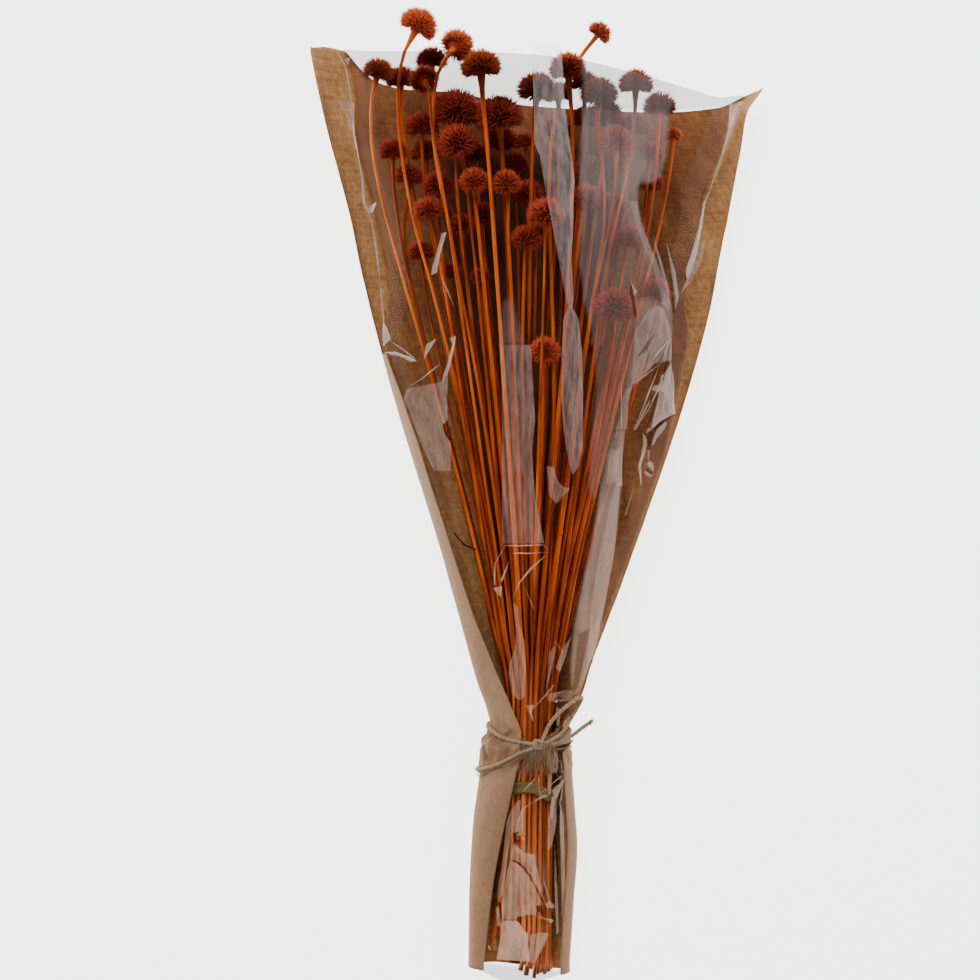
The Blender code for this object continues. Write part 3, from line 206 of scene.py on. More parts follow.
# Painted shade on the paper: what light shade leaves of its colour, and the colour of full shade; and the
# brown of the film's painted shade on its dark facets.
LIGHT_SHADE = (0.50, 0.36, 0.28)
FULL_SHADE = (0.046, 0.0095, 0.0035)
DARK_FACET = (0.28, 0.13, 0.09)

# The soft crease in the strip below the tie, beside which painted shade darkens the strip: (place along, place
# across).
STRIP_CREASE = [(-300, -43), (-226, -38.6), (-209, -36.4), (-194, -33), (-176, -28)]
# Painted shade on the paper behind the stems and heads: (place along, middle, half width). Elsewhere under the
# film it has a share of painted shade.
SHADED_ROWS = [(-190, -3, 14), (-127, -3, 17), (-65, -2, 26), (-3, -1, 37), (59, -2, 52), (120, -1, 59),
             (182, -4, 62), (244, -4, 62)]
UNDER_FILM_SHADE = 0.5
# The painted shade ends below this place along.
SHADE_TOP = 238.0
# Painted shade in creases that the tie presses into the strip, and a painted highlight on ridges where the
# darkness
# is below nought: (darkness, half width, start, end).
TIE_CREASES = [(0.50, 1.7, (-27.0, -151.0), (-17.2, -147.8)), (0.40, 1.2, (-32.1, -158.0), (-29.6, -167.0)),
               (0.34, 2.4, (-24.5, -161.8), (-17.5, -159.0)), (0.45, 1.3, (-35.0, -154.0), (-30.5, -151.0)),
               (-0.22, 1.1, (-26.8, -158.5), (-25.2, -169.5)), (0.28, 1.2, (-23.6, -163.5), (-20.8, -171.0)),
               (0.35, 1.5, (-34.5, -176.0), (-31.5, -174.5)), (-0.15, 1.1, (-30.5, -156.0), (-27.8, -168.0)),
               (0.22, 1.4, (-21.0, -141.0), (-16.0, -146.0))]
# Facets of the film: a painted highlight where they mirror the studio's light, or painted shade where they
# turn it away and the strength is below nought. A row is the strength and then the outline's points, across
# and along, as they show from above.
FACETS = [
    (0.2, -2.8, 281.5, 15, 281.5, 16.4, 256.1, 17.3, 240.6, 19.7, 221.8, 21.6, 208.5, 23.5, 194.2,
     22.6, 181.9, 22.6, 167, 21.3, 145.4, 22.6, 120.6, 21.3, 113.2, 18.2, 120.6, 13.5, 145.4, 7.9, 175.7,
     5.3, 188.7, 1.9, 209.7, -1.5, 217.1),
    (0.2, 20.5, 118.8, 25.5, 109.5, 27.7, 90.9, 28.6, 63.1, 28.1, 28.5, 25.5, 17, 22, 11.8, 20.5, 18.1,
     18.2, 28.5, 16.3, 42.7, 15.3, 56.9, 15.3, 86.6, 16.3, 108.3),
    (0.2, 6.1, 17.9, 10.2, 17, 13.3, 7.8, 16.4, 4.9, 20.5, 3.7, 15.8, -1.2, 12.2, -5.6, 7.6, -0.4),
    (0.13, -23.2, 90.9, -16.4, 94, -9.6, 90.3, -4.1, 92.9, -3.2, 85.7, -1.1, 44.7, -3.2, 28.5, -1.1, -2.5,
     4.5, -29.7, 2.8, -30.9, -21.6, -31.2, -21.6, 15.5, -21.6, 63.1),
    (0.2, -15, -66, -12, -69.5, -11.1, -79.8, -7.6, -90.3, -6.7, -105.8, -7.7, -125, -11.1, -127.4,
     -15.5, -123.1, -17.6, -110.1, -16.4, -103.3, -13.7, -95.5, -12.9, -84.1),
    (0.42, -6.7, -130.2, -1.5, -129.8, -3.3, -134.5, -1.9, -140.4, -4.6, -135.5),
    (0.42, -27.2, -57.8, -21.5, -56.5, -22.4, -63.4),
    (0.42, -17.2, -40.8, -18.9, -47, -21.5, -53.8, -22.6, -52.6),
    (0.28, 52.3, 15.5, 48.7, -27.8, 46.1, -46.4, 41, -71.1, 34.9, -101.5, 30.6, -104.5, 34.3, -65,
     38, -40.2, 43, -15.5, 47.3, 3.1),
    (0.2, 60.8, 102, 64.4, 106.9, 68.7, 113.7, 74.3, 117.4, 78.6, 115, 82.8, 102, 83.6, 96.5, 83.2, 83,
     78.5, 86.2, 72.6, 81.4, 66.6, 73.6, 62.7, 70.4, 59.6, 68.8, 58, 66.5, 58.8, 78.3, 60.3, 90.2),
    (-0.45, 62.3, 85.4, 68.2, 94.9, 72.9, 99.6, 71.8, 96.8, 69, 91.7, 68.2, 89, 63.5, 86.2),
    (-0.3, 61.6, 69.2, 64.3, 74.4, 67.4, 82.2, 69.4, 88.2, 70.2, 87, 68.2, 81.4, 66.6, 78.3, 63.5, 72.8),
    (-0.3, 70.6, 68.1, 71.8, 74.4, 74.5, 81.4, 76.9, 85.4, 80.1, 90.2, 78.5, 85.4, 76.5, 79.9, 75.7, 74.4,
     74.5, 68.1),
    (-0.6, 82, 92.9, 81.2, 84.2, 78.9, 72, 77.5, 70, 78.5, 76.7, 80.5, 85.4, 81.5, 91.7),
    (-0.4, 82, 96.8, 78.5, 92.1, 76.1, 86.2, 76.5, 89, 78.9, 93.7),
    (0.5, 82.8, 83, 84, 74.4, 85, 68.1, 84.8, 58.5, 85.8, 50.3, 82.8, 49.1, 76.5, 45.9, 72.6, 42,
     70.6, 41.2, 72.6, 49.5, 74.9, 58.5, 75.7, 63.3, 70.6, 64.9, 72.6, 67.6, 75.7, 68.4, 76.9, 73.6,
     80.1, 76.7, 82, 79.9),
    (-0.45, 75.4, 62.1, 72.9, 56.6, 71.8, 49.5, 68.2, 41.2, 67.4, 42, 70.6, 49.5, 72.6, 57.8, 73.7, 61.3),
    (0.28, 60.3, 40.1, 63.5, 46.7, 66.6, 53.8, 70.6, 59.4, 69, 55.4, 65.9, 49.5, 62.7, 42.8, 61.1, 40.1),
    (-0.4, 84.4, 48.3, 80.5, 47.5, 75.7, 44.4, 72.2, 40.1, 74.5, 40.1, 77.7, 43.6, 81.7, 46.7),
    (-0.7, 82.5, 51.1, 84.8, 49.1, 83.6, 48.7),
    (0.22, 52.5, 50.7, 53.3, 60.5, 56.4, 66.5, 58.8, 67.3, 56.8, 58.5, 55.6, 40.1, 48.9, 40.1),
    (0.22, 49.4, 40.1, 54.6, 40.1, 53.8, 32.5, 52.6, 18.7, 52.4, 7.6, 49.4, 6.8, 42.7, 6.8, 44.3, 18.7,
     44.7, 27.4, 47.8, 34.5),
    (-0.4, 53.4, 28.5, 53, 18.7, 53.1, 7.6, 53.8, 8.4, 53.8, 18.7),
    (0.6, 49.4, 8.4, 52.6, 8.8, 52.6, 5.7, 49.4, 5.3),
    (0.33, 70.7, 40.1, 78.2, 46.3, 75.5, 43.9, 70.3, 41.2, 67.6, 37.1, 68.4, 40.7),
    (-0.45, 70.3, 41.2, 75.5, 44.3, 78.6, 45.5, 74.7, 41.5, 71.9, 36, 70.7, 30.5, 69.5, 29.4, 68.4, 31.3,
     69.2, 38.4),
    (0.36, 74.7, 41.5, 79.8, 45.5, 80.2, 43.9, 78.2, 39.6, 74.7, 36, 71.9, 30.5, 70.7, 30.5, 72.3, 36),
    (0.34, 65.6, 38.4, 67.6, 35.2, 68, 30.5, 66.8, 24.2, 64, 17.9, 62.1, 15.6, 64.4, 24.2, 65.6, 29.4,
     64.8, 27.7, 66, 31.7),
    (0.42, 69.5, 21.1, 71.9, 19.5, 72.3, 14.8, 70.7, 15.6, 68, 18.7),
    (0.3, 68.4, 27.7, 69.9, 27.4, 69.5, 22.6, 68.7, 21.1, 68.4, 22.6),
    (-0.5, 68, 17.1, 70.7, 13.9, 72.3, 12.8, 69.9, 13.1, 66.8, 15.6),
    (0.3, 66.4, 15.1, 69.9, 12.8, 72.7, 12.4, 69.9, 10.8, 67.2, 12.4),
    (0.3, 63.2, 15.6, 64.4, 12.8, 64.8, 6, 64.4, 5.3, 63.6, 11.6),
    (0.25, 60.4, 40.4, 62.9, 46.3, 62.1, 46.3, 59.7, 40.8),
    (0.22, 54.1, -12.9, 57.3, -3, 60.4, 6.8, 58.1, -2.2, 55.4, -12.1),
    (0.45, 104.5, 182.4, 102.1, 166.6, 99.8, 154, 95.8, 139.8, 92.7, 133.5, 91.9, 138.2, 96.6, 152.4,
     100.5, 166.6, 103.3, 182.4),
    (0.2, 99.8, 154, 104.5, 158.7, 101.3, 142.9, 95, 131.9, 88.7, 124, 92.7, 133.5),
    (0.14, 57.2, 182.4, 61.9, 182.4, 64.3, 169, 71.3, 150.8, 77.6, 135.1, 80.9, 125.6, 81.6, 114.5,
     77.6, 117.7, 72.9, 138.2, 65, 156.3, 60.3, 169.8),
    (-0.6, 58.3, 131.1, 60.3, 122.4, 61.9, 111.4, 60.3, 109, 58.7, 120, 57.2, 124.8),
    (0.35, 58, 131.9, 61.9, 125.6, 60, 122.4),
    (0.26, 80.1, 156.3, 85.6, 138.2, 87.9, 122.4, 85.6, 114.5, 84, 133.5),
    (0.26, 71.3, 161.8, 77.6, 142.9, 81.6, 127.1, 82.4, 114.5, 80.1, 127.1, 76.1, 141.4),
    (-0.35, 81.6, 138.2, 84, 131.9, 86.4, 119.3, 84.8, 111.4, 83.2, 122.4),
    (0.5, 119.3, 241.7, 128.8, 244.1, 123.1, 230.3, 117.4, 215.2, 113.6, 203.9, 110.8, 196.2, 114.6, 211.4,
     118.4, 225.6),
    (0.42, -55.8, 162.7, -58.9, 161.8, -62.1, 149.2, -64.8, 141.4, -65.6, 135.8, -62.1, 137.4,
     -60.5, 146.1),
    (0.38, -95.2, 106.7, -92.8, 103.5, -90.5, 96.4, -95.2, 91.6, -95.6, 98.8),
    (0.45, -68.4, 93.2, -62.1, 96.8, -65.2, 91.6, -69.9, 83.8, -69.1, 89.3),
    (0.45, -92.8, 87.7, -88.1, 88.1, -77.9, 85.3, -74.7, 83, -77.9, 82.2, -85.7, 86.1, -89.7, 86.5),
    (0.4, -54.2, 97.1, -50.2, 98.4, -50.7, 93.2, -52.6, 83.8, -55, 75.9, -58.9, 67.2, -58.1, 73.5,
     -54.2, 85.3, -52.2, 93.2),
    (0.14, -80.3, 65.5, -59.9, 69.8, -55, 73.5, -55.6, 58.7, -55.4, 46.1, -58.1, 42.9, -53.4, 31.8,
     -53.4, 14.5, -56.5, 16.1, -63.6, 14.5, -67.5, 23.2, -73.5, 35.8, -78.5, 51.2, -82.8, 58.7),
    (0.2, -123.8, 244.6, -113.4, 242.6, -112.9, 234.2, -115.3, 223.7, -118.1, 234.2),
    (0.3, -119.1, 269.2, -115.3, 271.1, -117.1, 265.4),
    (0.4, -105.8, 177.3, -99.2, 181.1, -101.1, 175.5, -103.5, 173.5),
    (0.5, 10.2, -128.2, 13.2, -126.2, 12.4, -128.7),
    (0.35, 13.5, -128.2, 15.4, -127.3, 14.5, -128.2),
    (-0.75, 4.3, -144.5, 5.8, -140.6, 9.9, -138.4, 12.1, -140.1, 11.8, -144.2, 7.9, -147.3, 4.3, -150.8,
     3.8, -148.3),
    (-0.3, 14.3, -132.6, 19.6, -129.6, 23.1, -129, 23.7, -132.3, 20.4, -136.2, 15.4, -140.6, 14.1, -140.1,
     14.5, -134.5),
    (0.28, 12.1, -131.2, 14.3, -132.6, 14.3, -138.7, 13.7, -142.8, 12.4, -142.8, 12.6, -137.3,
     11.3, -135.1),
    (0.33, 2.4, -155.2, 6.6, -150.5, 11.3, -145.6, 13.7, -143.9, 14.3, -144.7, 9.9, -148.9, 5.2, -153.9,
     3.2, -155.8),
    (0.28, 15.4, -142.8, 19.2, -137.8, 21.8, -136.2, 18.2, -143.7, 16.5, -144.5),
    (-0.5, 12.6, -148.3, 15.4, -145.6, 17.9, -146.9, 17.9, -149.7, 14.3, -151.9, 12.1, -151.9),
    (0.18, 5.8, -123.5, 18.2, -120.7, 22.3, -120.7, 21.8, -126.2, 18.2, -127.6, 16.5, -124.3, 13.2, -123.7,
     10.7, -125.4, 7.1, -127.6),
    (-0.5, 11, -125.7, 12.6, -124.9, 16, -125.4, 15.4, -126.2, 12.6, -126.8, 10.7, -129.6, 9.9, -129),
    (0.25, 21.4, -87.3, 15.5, -96, 11.8, -107.1, 14.3, -109.6, 18, -99.1),
    (0.18, 7.5, -97.2, 11.8, -92.9, 9.4, -107.1, 5.6, -120.7, 6.9, -107.1),
    (-0.4, 9.4, -107.1, 12.1, -96, 13.7, -99.1, 11.2, -111.4, 7.5, -122),
    (-0.3, 32.9, -82.4, 26.1, -86.1, 23.6, -107.1, 21.7, -122, 25.4, -119.5, 30.4, -96),
    (0.24, 6.3, -159.2, 12.6, -157.8, 13.2, -166.1, 12.4, -171.1, 9.9, -172.2, 7.9, -171.1, 6.6, -166.1),
    (-0.7, 13.7, -157.8, 15.4, -159.5, 16.5, -163.9, 15.4, -163.3),
    (-0.6, 12.9, -164.4, 14.3, -164.8, 16.8, -170, 16.5, -170.8, 14.3, -169.5),
    (0.5, 14.3, -164.4, 15.1, -166.9, 16.5, -170.5, 17.1, -172.7, 16, -172.7, 15.1, -169.5, 14.3, -166.7),
    (-0.6, 11.8, -173.3, 14.3, -171.6, 16.5, -173, 14.3, -174.1, 12.6, -175.5),
    (-0.6, 12.1, -178.8, 13.5, -176.6, 16, -175.2, 14.3, -177.7, 12.6, -179.4),
    (0.42, 9.4, -182.7, 11.3, -180.5, 14.3, -178.2, 16.5, -175.5, 17.6, -173.3, 17.9, -174.4, 15.4, -179.9,
     13.7, -184.1, 12.6, -187.1, 11.5, -187.6, 10.5, -186.5),
    (-0.7, 15.4, -179.9, 16, -180.8, 15.1, -184.1, 14.3, -188.2, 13.2, -191, 13.7, -185.4),
    (0.3, 7.1, -173.3, 9.4, -171.6, 9, -177.2, 8.5, -185.4, 7.1, -185.4, 6.8, -178.6),
    (0.38, 9.4, -186.8, 11, -187.6, 10.5, -193.7, 9.9, -199.3, 8.8, -201.1, 8.2, -193.7),
    (0.35, 16, -175.5, 17.1, -173.3, 15.4, -188.2, 13.5, -192.7, 14.3, -188.2),
    (-0.5, 8.2, -187.6, 8.8, -187.6, 8.5, -192.3, 7.9, -199.3, 7.4, -196.5),
    (0.4, 1.1, -172.2, 0.5, -177.2, 1.6, -184.1, 2.4, -185.7, 1.3, -179.9, 1.6, -174.4),
    (0.35, 2.4, -185.7, 4.3, -186.5, 6.8, -185.4, 6.8, -186, 3.8, -187.4, 0.5, -188.5, -1.2, -189.6,
     -1.2, -189),
    (0.4, -9, -183.8, -4.3, -178.2, -0.9, -175.1, -1.8, -177, -6.1, -181.3, -8, -183.2),
    (0.2, -18.6, -201.1, -16, -195.6, -12.9, -190.6, -10.1, -188.1, -10.4, -193.7, -11.5, -201.1,
     -14.6, -207.8, -16.3, -212.9, -17.8, -220.1, -18.6, -226.4, -19.4, -234.7, -21, -245.7, -23.7, -252.4,
     -24.5, -248.4, -23.4, -238.6, -21.8, -230.7, -20.2, -216.9),
    (0.33, -11.5, -201.1, -10.4, -195.6, -8.2, -192.5, -8.3, -201.1, -8.8, -209, -9.9, -211.4,
     -13.1, -208.2, -14.3, -209, -13.1, -204.7),
    (-0.7, -14.6, -209, -11.5, -208.2, -11.1, -209.4, -13.5, -210.2, -13.1, -212.9, -10.8, -213.4,
     -11.5, -216.9, -13.1, -214.6, -14.6, -211),
    (0.4, -9.9, -211.4, -8, -212.2, -7.6, -214.1, -9.9, -212.6),
    (0.34, -14.3, -216.1, -11.5, -218.1, -8.3, -221.2, -4.4, -222.4, -1.3, -222.4, -0.5, -228.7,
     1.1, -236.6, 4.3, -245.7, 1.1, -244.6, -2, -238.6, -4.4, -234.7, -7.6, -229.5, -10.8, -226.8,
     -13.9, -225.6, -16.3, -225.7, -15.9, -221.7),
    (-0.6, -16.3, -225.7, -13.1, -226, -9.9, -228.3, -6, -231.9, -2, -237.4, -4.4, -235.5, -7.6, -232.7,
     -10.8, -228.7, -13.1, -227.5),
    (0.34, -16.6, -226.8, -13.1, -227.5, -9.9, -230, -6.8, -233.9, -3.6, -239, -0.5, -244.6, 2.7, -252.4,
     0.3, -254.4, -0.5, -259.2, -5.2, -258.3, -11.5, -259.2, -13.1, -263, -21.4, -263, -21.8, -256.4,
     -21, -250.4, -19.4, -240.6, -18.2, -232.7),
    (-0.7, 0.3, -253.6, 2.7, -254.4, 4.3, -260.3, 0.3, -257.2, -1.3, -253.6),
    (-0.5, 2.7, -244.6, 4.7, -240.6, 5.1, -244.6, 4.3, -252.4, 2.7, -250.4, 1.9, -247.7),
    (0.26, 6.6, -201.1, 7.8, -193.7, 10, -186.9, 11.8, -183.8, 12.1, -191.9, 12.1, -201.1, 11.4, -207.1,
     9, -216.9, 7, -220.1, 6.6, -212.9, 7.4, -207.1),
    (-0.5, 10.2, -212.9, 11.8, -211, 12.1, -220.9, 13.3, -232.7, 12.9, -242.6, 11.4, -238.6, 10.2, -224.8),
    (0.4, 5.1, -253.6, 7.4, -251.2, 10.6, -253.6, 11, -255.6, 6.6, -255.6),
    (0.62, -21.4, -263.4, -13.1, -263.1, -10.8, -265, -7.6, -269.7, -5.6, -272, -5.2, -279.9, -4.4, -289,
     -11.5, -288.3, -22.2, -287.4, -24.9, -287.4, -23.7, -279.9, -22.2, -272),
    (0.32, -4.8, -272, -0.5, -271.3, 2.7, -270.5, 7.4, -271.3, 4.3, -279.1, 0.3, -286.2, -1.7, -289.9,
     -3.6, -289.9, -4.4, -283.9),
    (0.3, -25.4, -255.5, -23.7, -254.3, -22.2, -264.2, -21.4, -266.5, -24.5, -266.5),
    (-0.8, -23.7, -252.3, -22.2, -252.3, -21.4, -261, -21.4, -265.3, -22.9, -262.2),
    (0.4, 14.5, -190, 16.5, -200, 17.5, -240, 17.8, -283, 15.8, -283, 15.2, -240, 14.2, -205),
    (0.3, 10.8, -215, 12.3, -235, 13.5, -270, 12.2, -272, 11, -245),
    (0.5, -30.4, -278.3, -29.2, -279.1, -28.1, -281.9, -29.7, -280.7),
    (0.45, 7, -261.8, 10.2, -263, 9, -265, 7.4, -264.5),
    (0.35, -18.6, -273.6, -13.1, -274.4, -9.9, -272, -13.1, -273.8),
    (0.35, -18.2, -271.3, -14.6, -266.5, -11.9, -269.7, -14.3, -268.1),
    (0.3, -11.5, -272.8, -7.6, -272, -8, -271.6, -11.1, -272.4),
    (-1.5, -51, -23.4, -44.7, -30.5, -37.6, -33.6, -37.6, -34.5, -45.1, -31.5, -51.3, -24.2),
    (-1.2, -58.4, 44.4, -57.2, 44.1, -56.1, 39.5, -53.6, 33.9, -54.5, 33.6, -57.2, 38.6),
]
# Soft painted glare on the film, a milky haze, in rows of the same kind. Below nought it thins what the others
# add.
PAINTED_GLARE = [
    (0.17, 27.7, 281.5, 95, 269.1, 81.7, 236.9, 80.7, 219.6, 79.9, 210.4, 76, 196.3, 71.4, 193,
     63.7, 193.4, 61.9, 188.7, 62.8, 175.7, 67.7, 157.7, 74.2, 145.4, 78.9, 126.8, 83.2, 120.6,
     84.4, 100.2, 76.4, 89.7, 67.7, 78.6, 62.5, 69.3, 57.2, 63.7, 54.1, 55.7, 51.7, 40.2, 44.8, 26.6,
     39.3, 9.3, 35.6, -2.5, 31.9, 3.1, 33.1, 34, 36.8, 71.1, 33.1, 102.1, 28.8, 120.6, 25.7, 145.4,
     27.5, 180, 26.8, 199.2, 27.7, 218.1, 29.6, 246.5),
    (-0.035, 20, 185, 75, 185, 90, 118, 88, 95, 60, 50, 30, -10, 20, 100),
    (-0.03, 20, 160, 75, 160, 90, 118, 88, 95, 60, 50, 30, -10, 20, 100),
    (-0.025, 20, 135, 75, 135, 90, 118, 88, 95, 60, 50, 30, -10, 20, 100),
    (0.3, 44.8, 26.6, 52.3, 28.5, 52.3, 8, 48.6, -27.8, 41.1, -71.1, 35, -102.1, 26.9, -120, 23.2, -126.8,
     21.3, -114.4, 21.3, -102.1, 23.6, -79.8, 28.8, -53.8, 35, -27.8, 39.3, 3.1),
    (0.05, -18.9, -217.1, -12.7, -214.7, -5.3, -217.1, 2.2, -224.6, 5.9, -230.7, 7.7, -244.3, 5.3, -251.8,
     -0.9, -258, -9, -259.2, -12.1, -261.7, -15.8, -250.5, -18.9, -238.2),
    (0.12, 14.5, -154.7, 21.3, -173.2, 23.2, -198, 23.8, -219.6, 21.3, -254.9, 20.1, -290.7, 16.4, -290.7,
     16.4, -250.5, 15.2, -219.6, 14.5, -188.7),
    (0.08, -20.7, 120.6, -15.2, 120.6, -7.7, 92.8, -16.4, 94, -23.2, 90.9),
    (0.05, 59, 215.3, 64, 213.4, 69, 204.1, 63.7, 193.4, 61.9, 188.7, 62.8, 175.7, 67.7, 157.7,
     74.2, 145.4, 68.4, 145.4, 60.9, 161.2, 55.2, 172.6, 50.4, 189.6, 51.4, 199.2),
    (0.06, 60.3, 120.6, 83, 120.6, 84.4, 100.2, 73.3, 88.5, 62.5, 69.3, 56, 52.6, 52.3, 28.5, 52.3, 8,
     48.6, 8, 46.7, 15.5, 51.7, 40.2, 57.2, 74.2, 61.6, 105.2),
]
# Creases pinched in the film, whitened and with a painted highlight: the half width and then the line's
# points.
CREASES = [
    (0.75, -124.8, 276, -118.6, 265.4, -115.4, 248.7, -113.5, 223.3, -110.4, 208.8, -107.8, 193.4,
     -106.8, 180, -103.1, 172.2, -99.5, 153.8, -96.9, 131.1, -95, 110.7, -94.3, 92.8),
    (0.8, -106.7, 177.5, -103.1, 175.5, -99.5, 180.9),
    (0.5, -90.8, 95.3, -83.2, 90.3, -75.4, 84.1),
    (1, -93.9, 88.1, -86.7, 88.1, -74.4, 82.5),
    (0.4, -79.5, 66.2, -69.6, 73, -60, 81),
    (0.6, -50.3, 98.4, -53.5, 85.4, -56, 69.7),
    (0.3, -59.1, 135.5, -51, 115.8),
    (0.7, 125.9, 242, 116.6, 214.7, 107.3, 189.6, 104.5, 181.2, 102.6, 172.6, 97.9, 145.4, 93.7, 129.9),
    (0.45, -22, -31.3, -9.6, -31.5, 4.5, -30.9, 7.1, -34.8, 5.4, -36.5),
    (0.55, -15, -36.1, -4, -36.2, 5.4, -35.6),
    (0.6, -20.2, -32.2, -25.9, -42.6, -26.3, -55.6),
    (0.6, 5.4, -37.4, -4.1, -46.1, -11.1, -54.7, -15, -64.3),
    (0.35, -7.7, -57.3, -1.5, -71.1),
    (0.35, 10.8, -117.5, 2.8, -126.8, -5.3, -134.9),
    (0.35, 10.8, -89.7, 15.2, -95.9, 20.7, -102.1),
    (0.5, 83, 97.1, 73.3, 86, 64, 72.4),
    (0.35, 83, 97.1, 77.6, 82.3, 62.2, 69.9),
    (0.4, 81.3, 93.4, 75.2, 78.6, 60.3, 40.2),
    (0.35, 76.9, 69.3, 69, 52.6, 60.3, 40.2),
    (0.7, 67.6, 32.4, 63.5, 18.1, 64.6, 6.2),
    (0.4, 52.3, 69.3, 52.3, 28.5, 52.3, 7.8),
    (0.5, 6.2, -186.4, -0.9, -189.3, -6.9, -193, -10.8, -199.8, -11.6, -208.5),
    (0.5, 1.5, -185.6, 6.5, -181.2, 15.8, -173.2),
    (0.4, -13.3, -163.3, -10.2, -170.1, -11.4, -179.4),
    (0.4, -15.8, -226.8, -3.4, -234.4, 1.4, -242.9, 9.8, -264.3),
    (0.4, 4, -238.2, 9.8, -257.3),
    (0.6, -10.5, -259.6, -6.5, -258, -2.2, -259.6, 5.3, -262.3, 9.6, -264.1),
    (0.3, -24.4, -266, -15.2, -272.2, -4, -270.3, 9.6, -266),
]

# The jute twine's strands: (turn round the sleeve, place along Y, lift off the sleeve).
TWINE_RADIUS = 1.15
TWINE_GAP = 0.45
UPPER_TURN = [(1.85, -155, 0.5), (1.3, -153, 0), (0.8, -150, 0), (0.3, -146.2, 0), (-0.3, -145, 0),
              (-1.5, -145.2, 0), (-2.8, -147.5, 0), (-3.4, -149, 0), (-3.9, -152, 0), (-4.43, -155, 0.5)]
LOWER_TURN = [(1.85, -156, 0.5), (1.45, -160, 0), (1.05, -166, 0), (0.6, -170.5, 0), (0.2, -172.5, 0),
              (-0.3, -173, 0), (-1.5, -166, 0), (-2.6, -158, 0), (-3.2, -155, 0), (-3.7, -154.5, 0),
              (-4.1, -155.5, 0.2), (-4.43, -156, 0.5)]
BOW_LOOP = [(1.9, -154, 1.0), (2.0, -146, 0.6), (2.15, -139, 0), (2.4, -131.5, 0), (2.7, -127, 0),
            (2.95, -127.5, 0), (2.98, -133, 0), (2.8, -140, 0.4), (2.5, -147, 1.6), (2.15, -152, 1.8),
            (1.9, -155, 1.2)]
LOOSE_END = [(1.95, -155, 0.6), (2.3, -154, 1.8), (2.6, -151.5, 3.4), (2.75, -148, 7),
             (2.8, -144.5, 11), (2.82, -141, 15)]
KNOT = [(1.85, -155, 0.5), (1.86, -155, 0.5)]
# The knot's coils: (tilt, size, start of the turn).
KNOT_COILS = ((0.35, 2.7, 0.0), (-0.55, 2.9, 1.3), (1.1, 2.4, 2.4))
# Length in which the twine's plies wind once.
PLY_PITCH = 5.5
# Loose fibres: how many are in the tuft, in the tip and beside each turn, and the least and most of their
# lengths and radii. The fuzz is the short fibres that stand off the twine.
TUFT_FIBRES = 150
TUFT_LENGTH = (7.0, 25.0)
TUFT_RADIUS = (0.16, 0.29)
TIP_FIBRES = 34
TIP_LENGTH = (1.6, 3.2)
TIP_RADIUS = 0.3
STRAY_FIBRES = 9
STRAY_RADIUS = (0.16, 0.27)
FUZZ_LENGTH = (1.5, 4.2)
FUZZ_RADIUS = 0.09
# Length of twine that the number of loose fibres is meant for.
TWINE_LENGTH = 420.0

# The band: its place along, its width and how unevenly it is cut, how far it arches, and its two faces.
BAND_ROW = -182.2
BAND_WIDTH = 7.6
BAND_UNEVEN = 0.8
BAND_ARCH = 4.0
BAND_OUTER = 1.25
BAND_INNER = 0.8

# The studio, in metres: the floor's half width and how far it lies below the table's plane, and the lamps as
# (name, place, width, share of the power).
FLOOR_HALF = 6.0
FLOOR_DROP = 0.0004
LAMPS = (("key lamp", (-0.75, 1.3, 1.7), 1.6, 1.0), ("side lamp", (1.5, 0.5, 1.5), 1.2, 0.16))


# Shapes shared by the pieces.

def cubic(t, span, start, end, start_slope, end_slope):
    """Cubic at a share of its span, from its values and slopes at both ends."""
    ends = (2 * t**3 - 3 * t**2 + 1) * start + (3 * t**2 - 2 * t**3) * end
    turns = (t**3 - 2 * t**2 + t) * start_slope + (t**3 - t**2) * end_slope
    return ends + turns * span


def curve(knots, place):
    """Value at a place on a smooth line through the knots that rises and falls only as they do.

    Each span is a cubic. The slope at a knot is the harmonic mean of the slopes beside it, or nought where
    they differ in sign.
    """
    at, value = np.array(knots, float).T
    span = np.diff(at)
    grade = np.diff(value) / span
    before, after = grade[:-1], grade[1:]
    both = before + after
    mean = np.where(before * after > 0.0, 2.0 * before * after / np.where(both == 0.0, 1.0, both), 0.0)
    slope = np.concatenate([grade[:1], mean, grade[-1:]])
    place = np.clip(np.asarray(place, float), at[0], at[-1])
    i = np.clip(np.searchsorted(at, place, side="right") - 1, 0, len(at) - 2)
    return cubic((place - at[i]) / span[i], span[i], value[i], value[i + 1], slope[i], slope[i + 1])


def eased(value):
    """Smooth step: 3t squared less 2t cubed, with t held between nought and one."""
    t = np.clip(value, 0.0, 1.0)
    return t * t * (3.0 - 2.0 * t)


def unit(vectors):
    """Vectors brought to a length of one."""
    return vectors / np.maximum(np.linalg.norm(vectors, axis=-1, keepdims=True), 1e-9)


def full_turn(count):
    """Evenly spaced angles round a full turn."""
    return 2.0 * math.pi * np.arange(count) / count


def spokes(side, other, angle):
    """Vectors at angles from a side towards another: the cosine of one and the sine of the other."""
    return side[..., None, :] * np.cos(angle)[:, None] + other[..., None, :] * np.sin(angle)[:, None]


def table_row(row):
    """A table row's first number, and the pairs of numbers after it."""
    return row[0], np.array(row[1:], float).reshape(-1, 2)


def true_across(seen, level):
    """Place across of a point at a level above the table, from where it shows from above."""
    return EYE_X + (seen - EYE_X) * (EYE_HEIGHT - level) / (EYE_HEIGHT - SEEN_LEVEL)


def true_along(seen, level):
    """Place along the bunch of a point at a level above the table, from where it shows from above."""
    return EYE_Y + (seen - EYE_Y) * (EYE_HEIGHT - level) / (EYE_HEIGHT - SEEN_LEVEL)


def seen_place(x, y, z):
    """Where points show from above: their places across and along, drawn in or out to SEEN_LEVEL."""
    scale = (EYE_HEIGHT - SEEN_LEVEL) / (EYE_HEIGHT - z)
    return EYE_X + (x - EYE_X) * scale, EYE_Y + (y - EYE_Y) * scale


def left_edge(y):
    """The sleeve's left edge, on the outside of the paper."""
    return true_across(curve(LEFT_EDGE, y), curve(EDGE_LEVEL, y))


